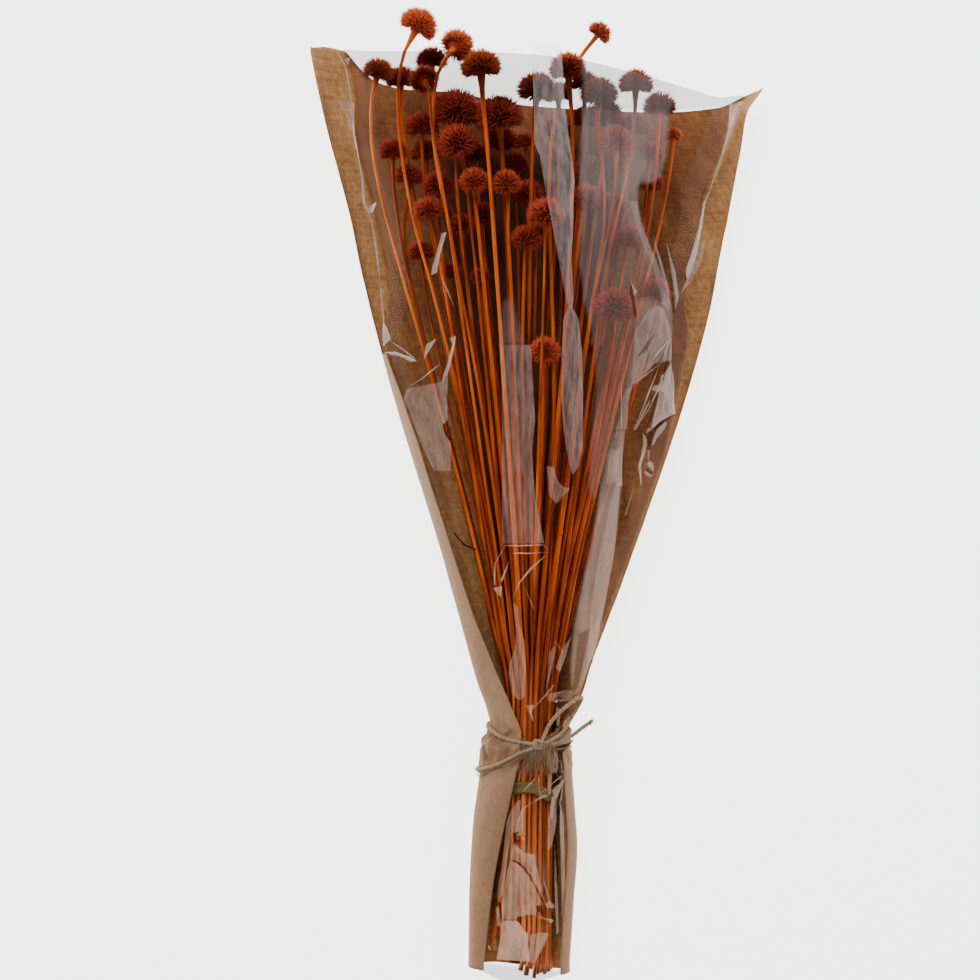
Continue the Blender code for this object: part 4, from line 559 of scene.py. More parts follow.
def right_edge(y):
    """The sleeve's right edge, on the outside of the paper."""
    return true_across(curve(RIGHT_EDGE, y), curve(EDGE_LEVEL, y))


def trough(share, y):
    """Height of the paper's outer face at a share of its width: a trough that is pressed flat below."""
    edge = curve(EDGE_LEVEL, y)
    floor = curve(FLOOR_LEVEL, y)
    power = curve(BACK_POWER, y)
    depth = (edge - floor) * (1.0 + BACK_FULLNESS * (power - 1.0))
    off = np.clip(np.abs(2.0 * share - 1.0), 0.0, 1.0)
    return np.maximum(edge - depth * np.sqrt(1.0 - off**(2.0 * power)), floor)


def back_level(x, y):
    """Height of the paper's outer face under a point."""
    left = left_edge(y)
    return trough(np.clip((x - left) / (right_edge(y) - left), 0.0, 1.0), y)


def film_foot(y, side):
    """Foot of the film's outer face at the left (-1) or right (+1) side.

    It stands on the paper where the margin is wide, and inside the paper's turn where there is none.
    """
    margin = curve(LEFT_MARGIN if side < 0 else RIGHT_MARGIN, y)
    if side < 0:
        x = left_edge(y) + np.maximum(margin, LAYER_STEP)
    else:
        x = right_edge(y) - np.maximum(margin, LAYER_STEP)
    wide = np.clip((margin - LAYER_STEP) / FOOT_BLEND, 0.0, 1.0)
    return x, wide * (back_level(x, y) + FOOT_LIFT) + (1.0 - wide) * curve(EDGE_LEVEL, y)


def front_point(turn, y):
    """Film's outer face at a turn from 0 at its left foot to pi at its right foot.

    The section is an ellipse whose sine and cosine are raised to a power, over a base line between the feet.
    """
    left_x, left_z = film_foot(y, -1)
    right_x, right_z = film_foot(y, 1)
    power = curve(SECTION_POWER, y)
    cosine = np.cos(turn)
    share = 0.5 * (1.0 - np.sign(cosine) * np.abs(cosine)**power)
    base = left_z + (right_z - left_z) * share
    crown = curve(FILM_CROWN, y) - base
    x = left_x + (right_x - left_x) * share
    return x, base + crown * np.abs(np.sin(turn))**power


def turn_of_share(share, y):
    """Turn round the film at a share of its width: the inverse of the section's raised cosine."""
    signed = 1.0 - 2.0 * share
    return np.arccos(np.clip(np.sign(signed) * np.abs(signed)**(1.0 / curve(SECTION_POWER, y)), -1.0, 1.0))


def film_share(x, y):
    """Share of the film's width at a place across."""
    left_x, _ = film_foot(y, -1)
    right_x, _ = film_foot(y, 1)
    return np.clip((x - left_x) / (right_x - left_x), 0.0, 1.0)


def front_turn(x, y):
    """Turn round the film at which its outer face stands over a place across."""
    return turn_of_share(film_share(x, y), y)


def outward(turn, y):
    """Unit vector pointing out of the film's face in the section across the bunch."""
    step = 0.01
    x0, z0 = front_point(np.clip(turn - step, 0.0, math.pi), y)
    x1, z1 = front_point(np.clip(turn + step, 0.0, math.pi), y)
    length = np.hypot(x1 - x0, z1 - z0)
    return -(z1 - z0) / length, (x1 - x0) / length


def waves(x, y, seed, count, length, fold=False):
    """Sum of straight waves in drawn directions, each about a length long; folded waves are zigzags."""
    draw = np.random.default_rng(seed)
    angle = draw.uniform(0.0, 2.0 * math.pi, count)
    pitch = length * draw.uniform(0.65, 1.5, count)
    start = draw.uniform(0.0, 1.0, count)
    run = (x[..., None] * np.cos(angle) + y[..., None] * np.sin(angle)) / pitch + start
    if fold:
        rise = 4.0 * np.abs(run - np.floor(run + 0.5)) - 1.0
    else:
        rise = np.cos(2.0 * math.pi * run)
    return rise.sum(-1) / math.sqrt(count)


def surface_normals(grid):
    """Unit normals of a grid of points: the cross product of its steps along columns and rows."""
    across = np.gradient(grid, axis=0)
    along = np.gradient(grid, axis=1)
    return unit(np.cross(across, along))


def polygon_depth(outline, x, y):
    """Depth inside an outline: the distance to its nearest side, positive inside and negative outside."""
    start, end = outline, np.roll(outline, -1, axis=0)
    side = end - start
    off_x = x[..., None] - start[:, 0]
    off_y = y[..., None] - start[:, 1]
    along = np.clip((off_x * side[:, 0] + off_y * side[:, 1]) / (side**2).sum(1), 0.0, 1.0)
    far = np.hypot(off_x - along * side[:, 0], off_y - along * side[:, 1]).min(-1)
    spans = (start[:, 1] > y[..., None]) != (end[:, 1] > y[..., None])
    rise = np.where(side[:, 1] == 0.0, 1.0, side[:, 1])
    crossing = spans & (off_x < side[:, 0] * off_y / rise)
    return np.where(crossing.sum(-1) % 2 == 1, far, -far)


def soft_patches(patches, x, y):
    """Sum of the patches' strengths, each eased in at its outline, and slower where it thins the haze."""
    total = np.zeros_like(x)
    for strength, outline in map(table_row, patches):
        soft = SOFT_EDGE if strength > 0.0 else SLOW_FADE * SOFT_EDGE
        total = total + strength * eased(0.5 + polygon_depth(outline, x, y) / soft)
    return np.maximum(total, 0.0)


def outline_rows(outline, step):
    """An outline cut into rows from its lowest to its highest point: each row's place along, left and right.

    Rows stand at the outline's own points and no further apart than a step.
    """
    start, end = outline, np.roll(outline, -1, axis=0)
    knots = np.unique(start[:, 1])
    slim = 0.01 * (knots[-1] - knots[0])
    knots = np.unique(np.clip(knots, knots[0] + slim, knots[-1] - slim))
    rows = np.concatenate([np.linspace(low, high, max(1, int(math.ceil((high - low) / step))), endpoint=False)
                           for low, high in zip(knots[:-1], knots[1:])] + [knots[-1:]])
    rise = np.where(end[:, 1] == start[:, 1], 1e-9, end[:, 1] - start[:, 1])
    share = (rows[:, None] - start[:, 1]) / rise
    across = start[:, 0] + share * (end[:, 0] - start[:, 0])
    met = (share >= 0.0) & (share <= 1.0)
    return rows, np.where(met, across, np.inf).min(1), np.where(met, across, -np.inf).max(1)


def on_film(seen_x, seen_y, lift):
    """Points on the film's outer face, lifted off it, from where they show from above."""
    level = np.full(seen_x.shape, FIRST_LEVEL)
    for _ in range(LEVEL_STEPS):
        x, y = true_across(seen_x, level), true_along(seen_y, level)
        turn = np.clip(front_turn(x, y), 0.02, math.pi - 0.02)
        level = front_point(turn, y)[1]
    return np.stack([x, y, level + film_lift(film_share(x, y), x, y) + lift], axis=-1)


def past_paper(x, y):
    """Share of the painted shade, a smoky tint, where the film stands past the paper's top and bottom edges.
    """
    top = np.interp(x, *np.array(SEEN_TOP).T)
    bottom = np.interp(x, *np.array(SEEN_BOTTOM).T)
    return eased(0.5 + (y - top) / SOFT_EDGE) + eased(0.5 + (bottom - y) / SOFT_EDGE)


def path_length(points):
    """Distance walked along a line of points, from its start."""
    return np.concatenate([[0.0], np.cumsum(np.linalg.norm(np.diff(points, axis=0), axis=1))])


def evenly(points, step, least):
    """A line of points walked again in even steps, of which there are at least so many."""
    walked = path_length(points)
    even = np.linspace(0.0, walked[-1], max(least, int(walked[-1] / step)))
    return np.stack([np.interp(even, walked, part) for part in points.T], axis=1)


def smooth_path(knots, places, last_way):
    """Points at given distances on cubics through the knots.

    The slope at a knot comes from its neighbours, and at the last two it is given.
    """
    at = path_length(knots)
    slope = np.gradient(knots, at, axis=0)
    slope[-2:] = last_way
    i = np.clip(np.searchsorted(at, places, side="right") - 1, 0, len(at) - 2)
    span = np.diff(at)[i][:, None]
    return cubic((places - at[i])[:, None] / span, span, knots[i], knots[i + 1], slope[i], slope[i + 1])


def tube_rings(path, radius, sides):
    """Rings square to a path: its side vector is level, and each ring turns from it round the path.

    The radius may differ at each ring and at each side.
    """
    way = unit(np.gradient(path, axis=0))
    side = unit(np.cross(way, np.array([0.0, 0.0, 1.0]) + 1e-6))
    angle = 2.0 * math.pi * (np.arange(sides) + 0.5) / sides - 0.5 * math.pi
    size = np.broadcast_to(radius, (len(path), sides))[..., None]
    return path[:, None] + spokes(side, np.cross(side, way), angle) * size


# Meshes.

class Shell:
    """Points, faces and values of several closed skins that become one mesh."""

    def __init__(self):
        self.points, self.values, self.faces, self.slots = [], [], [], []
        self.count = 0

    def add(self, points, faces, values, slot=0):
        """Add one skin: its points, its faces as arrays of point numbers, and a value vector for each."""
        points = np.asarray(points, float).reshape(-1, 3)
        self.points.append(points)
        self.values.append(np.broadcast_to(values, (len(points), 3)))
        for face in faces:
            self.faces.append(face + self.count)
            self.slots.append(np.full(len(face), slot))
        self.count += len(points)

    def tube(self, rings, values, slot=0):
        """Add rings joined into a tube whose two ends are closed by fans."""
        count, sides = rings.shape[:2]
        first = np.arange(sides)
        after = np.roll(first, -1)
        step = (np.arange(count - 1) * sides)[:, None]
        quads = np.stack([first + step, after + step, after + step + sides, first + step + sides], axis=2)
        ends = np.stack([rings[0].mean(0), rings[-1].mean(0)])
        low = np.stack([after, first, np.full(sides, count * sides)], axis=1)
        high = np.stack([first, after, np.full(sides, count * sides + 1)], axis=1)
        high[:, :2] += (count - 1) * sides
        values = np.broadcast_to(values, (count, sides, 3))
        values = np.concatenate([values.reshape(-1, 3), values[0, :1], values[-1, :1]])
        points = np.concatenate([rings.reshape(-1, 3), ends])
        self.add(points, [quads.reshape(-1, 4), low, high], values, slot)

    def sheet(self, grid, values, turned=False):
        """Add a grid of sleeve points as a sheet, with stacked values; a turned sheet faces the other way."""
        quads = grid_quads(*grid.shape[:2])
        values = np.stack(values, axis=2).reshape(-1, 3)
        self.add(centred(grid), [quads[:, ::-1] if turned else quads], values)

    def mesh(self, name, value_name, smooth=True):
        """The collected skins as a Blender mesh in metres, with the values as an attribute of its points."""
        made = bpy.data.meshes.new(name)
        points = np.concatenate(self.points) * MM
        corners = np.concatenate([face.ravel() for face in self.faces])
        sizes = np.concatenate([np.full(len(face), face.shape[1]) for face in self.faces])
        made.vertices.add(len(points))
        made.vertices.foreach_set("co", points.astype(np.float32).ravel())
        made.loops.add(len(corners))
        made.loops.foreach_set("vertex_index", corners.astype(np.int32))
        made.polygons.add(len(sizes))
        starts = np.concatenate([[0], np.cumsum(sizes)[:-1]])
        made.polygons.foreach_set("loop_start", starts.astype(np.int32))
        made.polygons.foreach_set("material_index", np.concatenate(self.slots).astype(np.int32))
        made.polygons.foreach_set("use_smooth", np.full(len(sizes), smooth))
        kept = made.attributes.new(value_name, "FLOAT_VECTOR", "POINT")
        kept.data.foreach_set("vector", np.concatenate(self.values).astype(np.float32).ravel())
        made.update(calc_edges=True)
        return made


def centred(points):
    """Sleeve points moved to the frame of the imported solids, in millimetres."""
    return np.asarray(points, float) - (CENTRE_X, CENTRE_Y, 0.0)


def grid_quads(columns, rows):
    """Point numbers of a grid's quads, facing along the cross product of its column and row steps."""
    first = (np.arange(columns - 1)[:, None] * rows + np.arange(rows - 1)[None, :]).ravel()
    return np.stack([first, first + rows, first + rows + 1, first + 1], axis=1)


def merged(mesh):
    """Merge a mesh's doubled points and drop what that flattens."""
    work = bmesh.new()
    work.from_mesh(mesh)
    bmesh.ops.remove_doubles(work, verts=work.verts, dist=MERGE)
    bmesh.ops.dissolve_degenerate(work, dist=MERGE, edges=work.edges)
    work.to_mesh(mesh)
    work.free()
    return mesh


def place_piece(name, mesh, finishes, slot, *nodes):
    """Link a mesh as a piece that rides on the bouquet and stands for some of its solids."""
    for finish in finishes:
        mesh.materials.append(finish)
    piece = bpy.data.objects.new(name, mesh)
    bpy.context.scene.collection.objects.link(piece)
    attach(piece, "root")
    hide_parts(*nodes)
    return piece


def add_wall(piece, thickness, inner_finish=0):
    """Give a sheet its thickness behind its outer face, and its inner face a finish of its own."""
    wall = piece.modifiers.new("wall", "SOLIDIFY")
    wall.thickness = thickness
    wall.offset = -1.0
    wall.material_offset = inner_finish


# Finishes.

def new_finish(name):
    """An empty node material and its output."""
    made = bpy.data.materials.new(name)
    made.use_nodes = True
    made.node_tree.nodes.clear()
    return made, made.node_tree, made.node_tree.nodes.new("ShaderNodeOutputMaterial")


def add_node(tree, kind, inputs=None, **settings):
    """A node with its settings, and with values or links for its inputs."""
    node = tree.nodes.new(kind)
    for key, value in settings.items():
        setattr(node, key, value)
    for key, value in (inputs or {}).items():
        if isinstance(value, bpy.types.NodeSocket):
            tree.links.new(value, node.inputs[key])
        else:
            node.inputs[key].default_value = value
    return node


def ramp(tree, value, stops):
    """Colours between stops of (place, linear red, green, blue)."""
    node = add_node(tree, "ShaderNodeValToRGB", {"Fac": value})
    while len(node.color_ramp.elements) < len(stops):
        node.color_ramp.elements.new(0.5)
    for element, (place, *colour) in zip(node.color_ramp.elements, stops):
        element.position = place
        element.color = (*colour, 1.0)
    return node.outputs["Color"]


def attribute(tree, name):
    """The three values kept on a piece's points."""
    node = add_node(tree, "ShaderNodeAttribute", attribute_name=name)
    parts = add_node(tree, "ShaderNodeSeparateXYZ", {"Vector": node.outputs["Vector"]})
    return node.outputs["Vector"], parts.outputs


def scaled(tree, vector, scale):
    """A vector with each of its parts scaled."""
    node = add_node(tree, "ShaderNodeMapping", {"Vector": vector, "Scale": scale})
    return node.outputs["Vector"]


def noise(tree, vector, stretch, detail, roughness, scale=1.0):
    """Noise from nought to one, on a vector with each of its parts scaled."""
    node = add_node(tree, "ShaderNodeTexNoise", {"Vector": scaled(tree, vector, stretch), "Scale": scale,
                                                 "Detail": detail, "Roughness": roughness})
    return node.outputs["Fac"]


def math_node(tree, operation, first, second=0.0, clamp=False):
    """A sum, product or other operation on two values."""
    node = add_node(tree, "ShaderNodeMath", {0: first, 1: second}, operation=operation, use_clamp=clamp)
    return node.outputs["Value"]


def plus(tree, total, *terms):
    """The sum of values."""
    for term in terms:
        total = math_node(tree, "ADD", total, term)
    return total


def times(tree, product, *factors):
    """The product of values, held between nought and one."""
    for factor in factors[:-1]:
        product = math_node(tree, "MULTIPLY", product, factor)
    return math_node(tree, "MULTIPLY", product, factors[-1], clamp=True)


def between(tree, value, low, high, start=0.0, end=1.0):
    """A value's place between two limits as a number from start to end, held at both."""
    node = add_node(tree, "ShaderNodeMapRange", {"Value": value, "From Min": low, "From Max": high,
                                                 "To Min": start, "To Max": end})
    return node.outputs["Result"]


def mixed(tree, share, first, second, blend="MIX"):
    """Two colours mixed by a share."""
    node = add_node(tree, "ShaderNodeMix", {"Factor": share}, data_type="RGBA", blend_type=blend)
    for socket, value in ((node.inputs[6], first), (node.inputs[7], second)):
        if isinstance(value, bpy.types.NodeSocket):
            tree.links.new(value, socket)
        else:
            socket.default_value = (*value, 1.0)
    return node.outputs[2]


def principled(tree, output, colour, roughness, bump=None, strength=1.0, distance=MM, **sockets):
    """The surface shader, with a bump where there is one and further values by socket name."""
    inputs = {"Base Color": colour, "Roughness": roughness}
    if bump is not None:
        lift = add_node(tree, "ShaderNodeBump", {"Height": bump, "Strength": strength, "Distance": distance})
        inputs["Normal"] = lift.outputs["Normal"]
    shader = add_node(tree, "ShaderNodeBsdfPrincipled", inputs)
    for key, value in sockets.items():
        shader.inputs[key.replace("_", " ")].default_value = value
    tree.links.new(shader.outputs["BSDF"], output.inputs["Surface"])
    return shader


def stem_finish(settings):
    """Dyed dry stem: orange with darker streaks, darker where its tone is low and paler at its foot, partly by
    painted light and shade.
    """
    made, tree, output = new_finish("rust stem")
    vector, parts = attribute(tree, "growth")
    streaks = noise(tree, vector, (11.0, 0.03, 13.0), 4.0, 0.65)
    patches = noise(tree, vector, (1.3, 0.016, 31.0), 3.0, 0.6)
    fine = noise(tree, vector, (30.0, 0.02, 13.0), 2.0, 0.55)
    # Painted light and shade: the tone darkens stems deep in the bunch, and the last term brightens each stem
    # towards its cut end.
    light = plus(tree, between(tree, streaks, 0.34, 0.66, -0.30, 0.24),
                 between(tree, patches, 0.35, 0.65, -0.2, 0.2),
                 between(tree, parts["Z"], 0.0, 1.0, 0.08, 0.80),
                 between(tree, parts["Y"], 0.0, 150.0, 0.24, 0.0))
    colour = ramp(tree, light, [(tone, *np.multiply(settings.stem_colour, shade))
                                for tone, *shade in STEM_SHADES])
    faded = times(tree, between(tree, parts["Y"], 0.0, 190.0, 0.42, 0.0),
                  between(tree, patches, 0.3, 0.7, 0.5, 1.2))
    colour = mixed(tree, faded, colour, FADED_STEM)
    principled(tree, output, colour, 0.55, fine, 0.5, 0.0004, Specular_IOR_Level=0.3,
               Specular_Tint=(1.0, 0.42, 0.10, 1.0))
    return made


def bristle_finish(settings):
    """Dyed bristle: rust at its tip and darker towards its root, brighter where the tone is high; root,
    underside and low tone carry painted shade.
    """
    made, tree, output = new_finish("rust bristle")
    _, parts = attribute(tree, "growth")
    reach = times(tree, parts["Y"], between(tree, parts["Z"], 0.0, 1.0, 0.36, 1.08))
    reach = plus(tree, reach, times(tree, parts["X"], 0.25))
    colour = ramp(tree, reach, [(0.0, 0.110, 0.010, 0.007), (0.30, 0.190, 0.018, 0.011),
                                (0.60, 0.300, 0.035, 0.017), (1.0, *settings.tip_colour)])
    principled(tree, output, colour, 0.6, Specular_IOR_Level=0.25, Specular_Tint=(1.0, 0.3, 0.12, 1.0))
    return made


def kraft_finish(name, pale, dark, lines, shade_strength):
    """Kraft paper: cloudy brown with fine lines across the sheet, flecks, fibres and painted shade.

    The painted shade follows the sheet's third value where both have one sign.
    """
    made, tree, output = new_finish(name)
    vector, parts = attribute(tree, "sheet")
    clouds = noise(tree, vector, (0.055, 0.018, 1.0), 4.0, 0.6)
    mottle = noise(tree, vector, (0.36, 0.22, 1.0), 4.0, 0.7)
    rules = noise(tree, vector, (0.05, 1.0, 1.0), 2.0, 0.5, 0.75)
    fibres = noise(tree, vector, (0.9, 0.2, 1.0), 3.0, 0.6, 1.8)
    grain = ((clouds, 0.8), (mottle, 0.9), (rules, lines), (fibres, 0.4))
    light = plus(tree, *(times(tree, part, share) for part, share in grain))
    middle = 0.5 * sum(share for _, share in grain)
    colour = mixed(tree, between(tree, light, middle - 0.23, middle + 0.23), dark, pale)
    # The sheet's third value is painted shade: light shade first, then full shade.
    dyed = times(tree, parts["Z"], between(tree, clouds, 0.3, 0.7, shade_strength, 0.85 * shade_strength))
    lightly_shaded = mixed(tree, 1.0, colour, LIGHT_SHADE, "MULTIPLY")
    colour = mixed(tree, between(tree, dyed, 0.0, 0.5), colour, lightly_shaded)
    colour = mixed(tree, between(tree, dyed, 0.5, 1.0), colour, FULL_SHADE)
    height = plus(tree, times(tree, rules, 1.5 * lines), fibres, mottle)
    principled(tree, output, colour, 0.82, height, 0.45, 0.0003, Specular_IOR_Level=0.25)
    return made


def veil_shader(tree, place, settings):
    """Painted milky glare: cool by the heads and warm by the stems, by the place along the bunch in
    millimetres.
    """
    along = add_node(tree, "ShaderNodeSeparateXYZ", {"Vector": place}).outputs["Y"]
    colour = mixed(tree, between(tree, along, -130.0, 170.0), settings.low_veil, settings.veil_colour)
    return add_node(tree, "ShaderNodeBsdfDiffuse", {"Color": colour})


def blend_shaders(tree, share, first, second):
    """Two shaders mixed by a share."""
    return add_node(tree, "ShaderNodeMixShader", {0: share, 1: first.outputs[0], 2: second.outputs[0]})


def film_finish(settings):
    """Clear film: light passes, its gloss mirrors the room, and painted glare, a thin milky haze, lies where
    it glares.
    """
    made, tree, output = new_finish("clear film")
    _, parts = attribute(tree, "veil")
    place = add_node(tree, "ShaderNodeTexCoord").outputs["Object"]
    along = noise(tree, place, (320.0, 16.0, 60.0), 3.0, 0.6)
    cloud = noise(tree, place, (60.0, 22.0, 40.0), 2.0, 0.5)
    haze = times(tree, parts["X"], between(tree, along, 0.3, 0.7, 0.35, 0.60),
                 between(tree, cloud, 0.3, 0.7, 0.75, 1.2), settings.veil)
    # Painted shade: a darker tint where the film stands past the paper.
    tint = mixed(tree, parts["Y"], settings.tint, settings.past_paper_shade)
    clear = add_node(tree, "ShaderNodeBsdfTransparent", {"Color": tint})
    milk = veil_shader(tree, scaled(tree, place, (1.0 / MM, 1.0 / MM, 1.0 / MM)), settings)
    gloss = add_node(tree, "ShaderNodeBsdfGlossy", {"Color": (1.0, 1.0, 1.0, 1.0), "Roughness": 0.12})
    edge = add_node(tree, "ShaderNodeFresnel", {"IOR": 1.3})
    shine = between(tree, edge.outputs[0], 0.06, 0.5, 0.0, settings.gloss)
    skin = blend_shaders(tree, shine, blend_shaders(tree, haze, clear, milk), gloss)
    tree.links.new(skin.outputs[0], output.inputs["Surface"])
    return made


def facet_finish(settings):
    """A facet or crease of the film: a painted highlight as a milky sheen, or painted shade as a brown tint
    where its strength is below nought.

    The attribute keeps the place across from -1 to 1, the place along and the strength. The painted sheen is
    streaked along the film and a little stronger at the facet's sides.
    """
    made, tree, output = new_finish("film facet")
    vector, parts = attribute(tree, "veil")
    streaks = noise(tree, vector, (3.2, 0.07, 7.0), 3.0, 0.6)
    rim = math_node(tree, "POWER", math_node(tree, "ABSOLUTE", parts["X"]), 9.0)
    sheen = times(tree, parts["Z"], between(tree, streaks, 0.34, 0.66, 0.22, 0.70),
                  between(tree, parts["X"], -1.0, 1.0, 0.72, 1.12), between(tree, rim, 0.0, 1.0, 1.0, 1.3),
                  settings.veil)
    shade = times(tree, parts["Z"], -0.6)
    tint = mixed(tree, shade, (1.0, 1.0, 1.0), DARK_FACET)
    clear = add_node(tree, "ShaderNodeBsdfTransparent", {"Color": tint})
    skin = blend_shaders(tree, sheen, clear, veil_shader(tree, vector, settings))
    tree.links.new(skin.outputs[0], output.inputs["Surface"])
    return made


def fibre_finish(name, pale, dark, stretch):
    """Dry fibre in two browns, mixed along and round the strand."""
    made, tree, output = new_finish(name)
    vector, _ = attribute(tree, "strand")
    mix = noise(tree, vector, stretch, 3.0, 0.65)
    colour = mixed(tree, between(tree, mix, 0.3, 0.7), dark, pale)
    principled(tree, output, colour, 0.9, mix, 0.6, 0.0004, Specular_IOR_Level=0.15)
    return made


# Flowers.

def solid_points(name):
    """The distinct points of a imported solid, in millimetres."""
    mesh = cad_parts[name].data
    flat = np.empty(3 * len(mesh.vertices), np.float32)
    mesh.vertices.foreach_get("co", flat)
    return np.unique(np.round(flat.reshape(-1, 3).astype(float) / MM, 3), axis=0)


def flower_form(name):
    """A flower's line, the foot of its head, the head's axis and its radius, from its solid.

    The lowest points along Y are the stem's rings, five points each, and a ring's middle is its mean. The
    rest is the head with its collar, whose rings are all centred on the head's axis.
    """
    points = solid_points(name)
    points = points[np.argsort(points[:, 1])]
    split = len(points) - SOLID_HEAD_POINTS
    stem = points[:split].reshape(-1, SOLID_STEM_SIDES, 3).mean(1)
    head = points[split:]
    rough = head.mean(0) - stem[-1]
    collar = head[np.argsort(head @ rough)][:SOLID_STEM_SIDES].mean(0)
    axis = unit(head.mean(0) - collar)
    radius = ((head - collar) @ axis).max() / (COLLAR_LENGTH + HEAD_TOP)
    base = collar + axis * COLLAR_LENGTH * radius
    return np.concatenate([stem, [collar, base]]), base, axis, radius


def add_stem(shell, line, axis, radius, tone, draw):
    """Stem: a grooved tube along the flower's line that flares into the head's underside.

    Its radius is a share of the solids', times a small cosine along it and another round it, thinner where
    the bunch fans out. It grows to the neck's by two eased steps that end at the head.
    """
    total = path_length(line)[-1]
    neck = COLLAR_LENGTH * radius
    places = np.concatenate([np.linspace(0.0, total - neck - 2.0, STEM_RINGS),
                             np.linspace(total - neck, total, NECK_RINGS)])
    path = smooth_path(line, places, axis)
    own = curve(STEM_RADIUS, path[:, 1] + CENTRE_Y) * draw.uniform(*STEM_SHARE)
    own = own * (1.0 - FAN_THINNING * eased(path[:, 1] / FAN_LENGTH))
    own = own * (1.0 + 0.05 * np.cos(places / draw.uniform(14.0, 30.0) + draw.uniform(0.0, 6.0)))
    flare = 0.35 * eased((places - total + 3.2 * neck) / (3.2 * neck))**2
    flare = flare + 0.65 * eased((places - total + neck) / neck)**1.6
    size = own + (np.maximum(NECK_RADIUS * radius, own) - own) * flare
    groove = 1.0 + 0.05 * np.cos(5.0 * full_turn(STEM_SIDES) + draw.uniform(0.0, 6.0))
    rings = tube_rings(path, size[:, None] * groove, STEM_SIDES)
    around = np.broadcast_to(np.abs(np.arange(STEM_SIDES) / STEM_SIDES - 0.5), rings.shape[:2])
    along = np.broadcast_to(places[:, None], rings.shape[:2])
    values = np.stack([around + draw.uniform(0.0, 9.0), along, np.full_like(around, tone)], axis=2)
    shell.tube(rings, values, 0)


def head_frame(axis):
    """Two unit vectors square to a head's axis."""
    across = unit(np.array([1.0, 0.0, 0.0]) - axis * axis[0])
    return across, np.cross(across, axis)


def add_core(shell, base, axis, radius, tone):
    """The head's core: its profile turned round the axis."""
    profile = np.array(CORE_PROFILE) * radius
    spoke = spokes(*head_frame(axis), full_turn(CORE_SIDES))
    rings = base + axis * profile[:, None, :1] + spoke[None] * profile[:, None, 1:]
    # The core's second value is its painted shade, as deep in the head.
    shell.tube(rings[:, ::-1], np.array([0.5, CORE_LIGHT, tone]), 1)


def bristle_roots(count, draw):
    """Places of bristles on the core: a golden angle apart round it, and evenly by its area along it."""
    place, size = np.array(CORE_PROFILE)[2:].T
    fine = np.linspace(0.0, len(place) - 1.0, 200)
    place = np.interp(fine, np.arange(len(place)), place)
    size = np.interp(fine, np.arange(len(size)), size)
    step = np.hypot(np.diff(place), np.diff(size))
    area = np.concatenate([[0.0], np.cumsum(step * 0.5 * (size[1:] + size[:-1]))])
    share = (np.arange(count) + draw.uniform(0.0, 1.0, count)) / count
    where = np.interp(share, area / area[-1], fine)
    turn = np.arange(count) * GOLDEN_ANGLE + draw.normal(0.0, 0.12, count)
    return np.interp(where, fine, place), np.interp(where, fine, size), turn


def add_bristles(shell, base, axis, radius, tone, draw, settings):
    """Bristles: three-sided spikes from the core, each pointing away from a place low on the head's axis.

    A spike narrows a little towards its middle and ends in a point on the head's rounded outline, at about one
    head radius from that place, longer or shorter by a draw.
    """
    count = int(settings.bristles * np.clip((radius / 10.0)**1.5, 0.35, 1.6))
    place, size, turn = bristle_roots(count, draw)
    spoke = spokes(*head_frame(axis), turn)
    root = axis * (place * radius)[:, None] + spoke * (size * radius)[:, None]
    way = root - axis * AIM_PLACE * radius
    start = np.linalg.norm(way, axis=1)
    way /= start[:, None]
    way = unit(way + draw.normal(0.0, 0.06, way.shape))
    side_on = np.sqrt(np.clip(1.0 - (way @ axis)**2, 0.0, 1.0))
    end = (HEAD_SWELL + 0.13 * (1.0 - tone)) * radius * (1.0 + 0.05 * side_on)
    end = end * draw.normal(1.0, 0.055, count)
    end = np.where(way @ axis < 0.0, end * (1.0 + 0.25 * (way @ axis)), end)
    tip = axis * AIM_PLACE * radius + way * end[:, None]
    thick = radius * BRISTLE_RADIUS * draw.uniform(0.75, 1.25, count)
    square = unit(np.cross(way, axis + 0.01))
    ring = spokes(square, np.cross(way, square), full_turn(3))
    middle = root * 0.45 + tip * 0.55 + draw.normal(0.0, 0.008 * radius, root.shape)
    foot = root - way * 0.10 * radius
    low = foot[:, None] + ring * thick[:, None, None]
    mid = middle[:, None] + ring * (0.85 * thick)[:, None, None]
    points = base + np.concatenate([low, mid, tip[:, None]], axis=1)
    faces = (np.arange(count) * 7)[:, None, None] + np.array(BRISTLE_FACES)[None]
    # Painted shade: bristles that point back under the head are darker.
    under = np.clip(1.0 + 0.9 * (way @ axis), 0.45, 1.0)
    values = np.empty((count, 7, 3))
    values[..., 0] = draw.uniform(0.0, 1.0, count)[:, None]
    values[..., 1] = np.array(BRISTLE_LIGHT) * under[:, None]
    values[..., 2] = tone
    shell.add(points, [faces.reshape(-1, 3)], values.reshape(-1, 3), 1)


# Sheets.

def rounded(count):
    """Shares of a width, from nought to one, that stand closer together towards its ends."""
    return 0.5 * (1.0 - np.cos(math.pi * np.linspace(0.0, 1.0, count)))[:, None]


def rows_between(bottom, top, share, up):
    """Places along at shares of the way up between a sheet's two ends, at a share of its width."""
    low, high = curve(bottom, share), curve(top, share)
    return low + (high - low) * up


def film_grid(columns, rows):
    """Points of the film's outer face, with its folds.

    Columns are shares of the width, closer together towards the feet, and rows run from the bottom edge to
    the top edge. Folds lift the points along the surface's normals.
    """
    share = rounded(columns)
    y = rows_between(FILM_BOTTOM, FILM_TOP, share, np.linspace(0.0, 1.0, rows)[None, :])
    x, z = front_point(turn_of_share(share + 0.0 * y, y), y)
    grid = np.stack([x, y, z], axis=2)
    return grid + surface_normals(grid) * film_lift(share + 0.0 * y, x, y)[..., None]


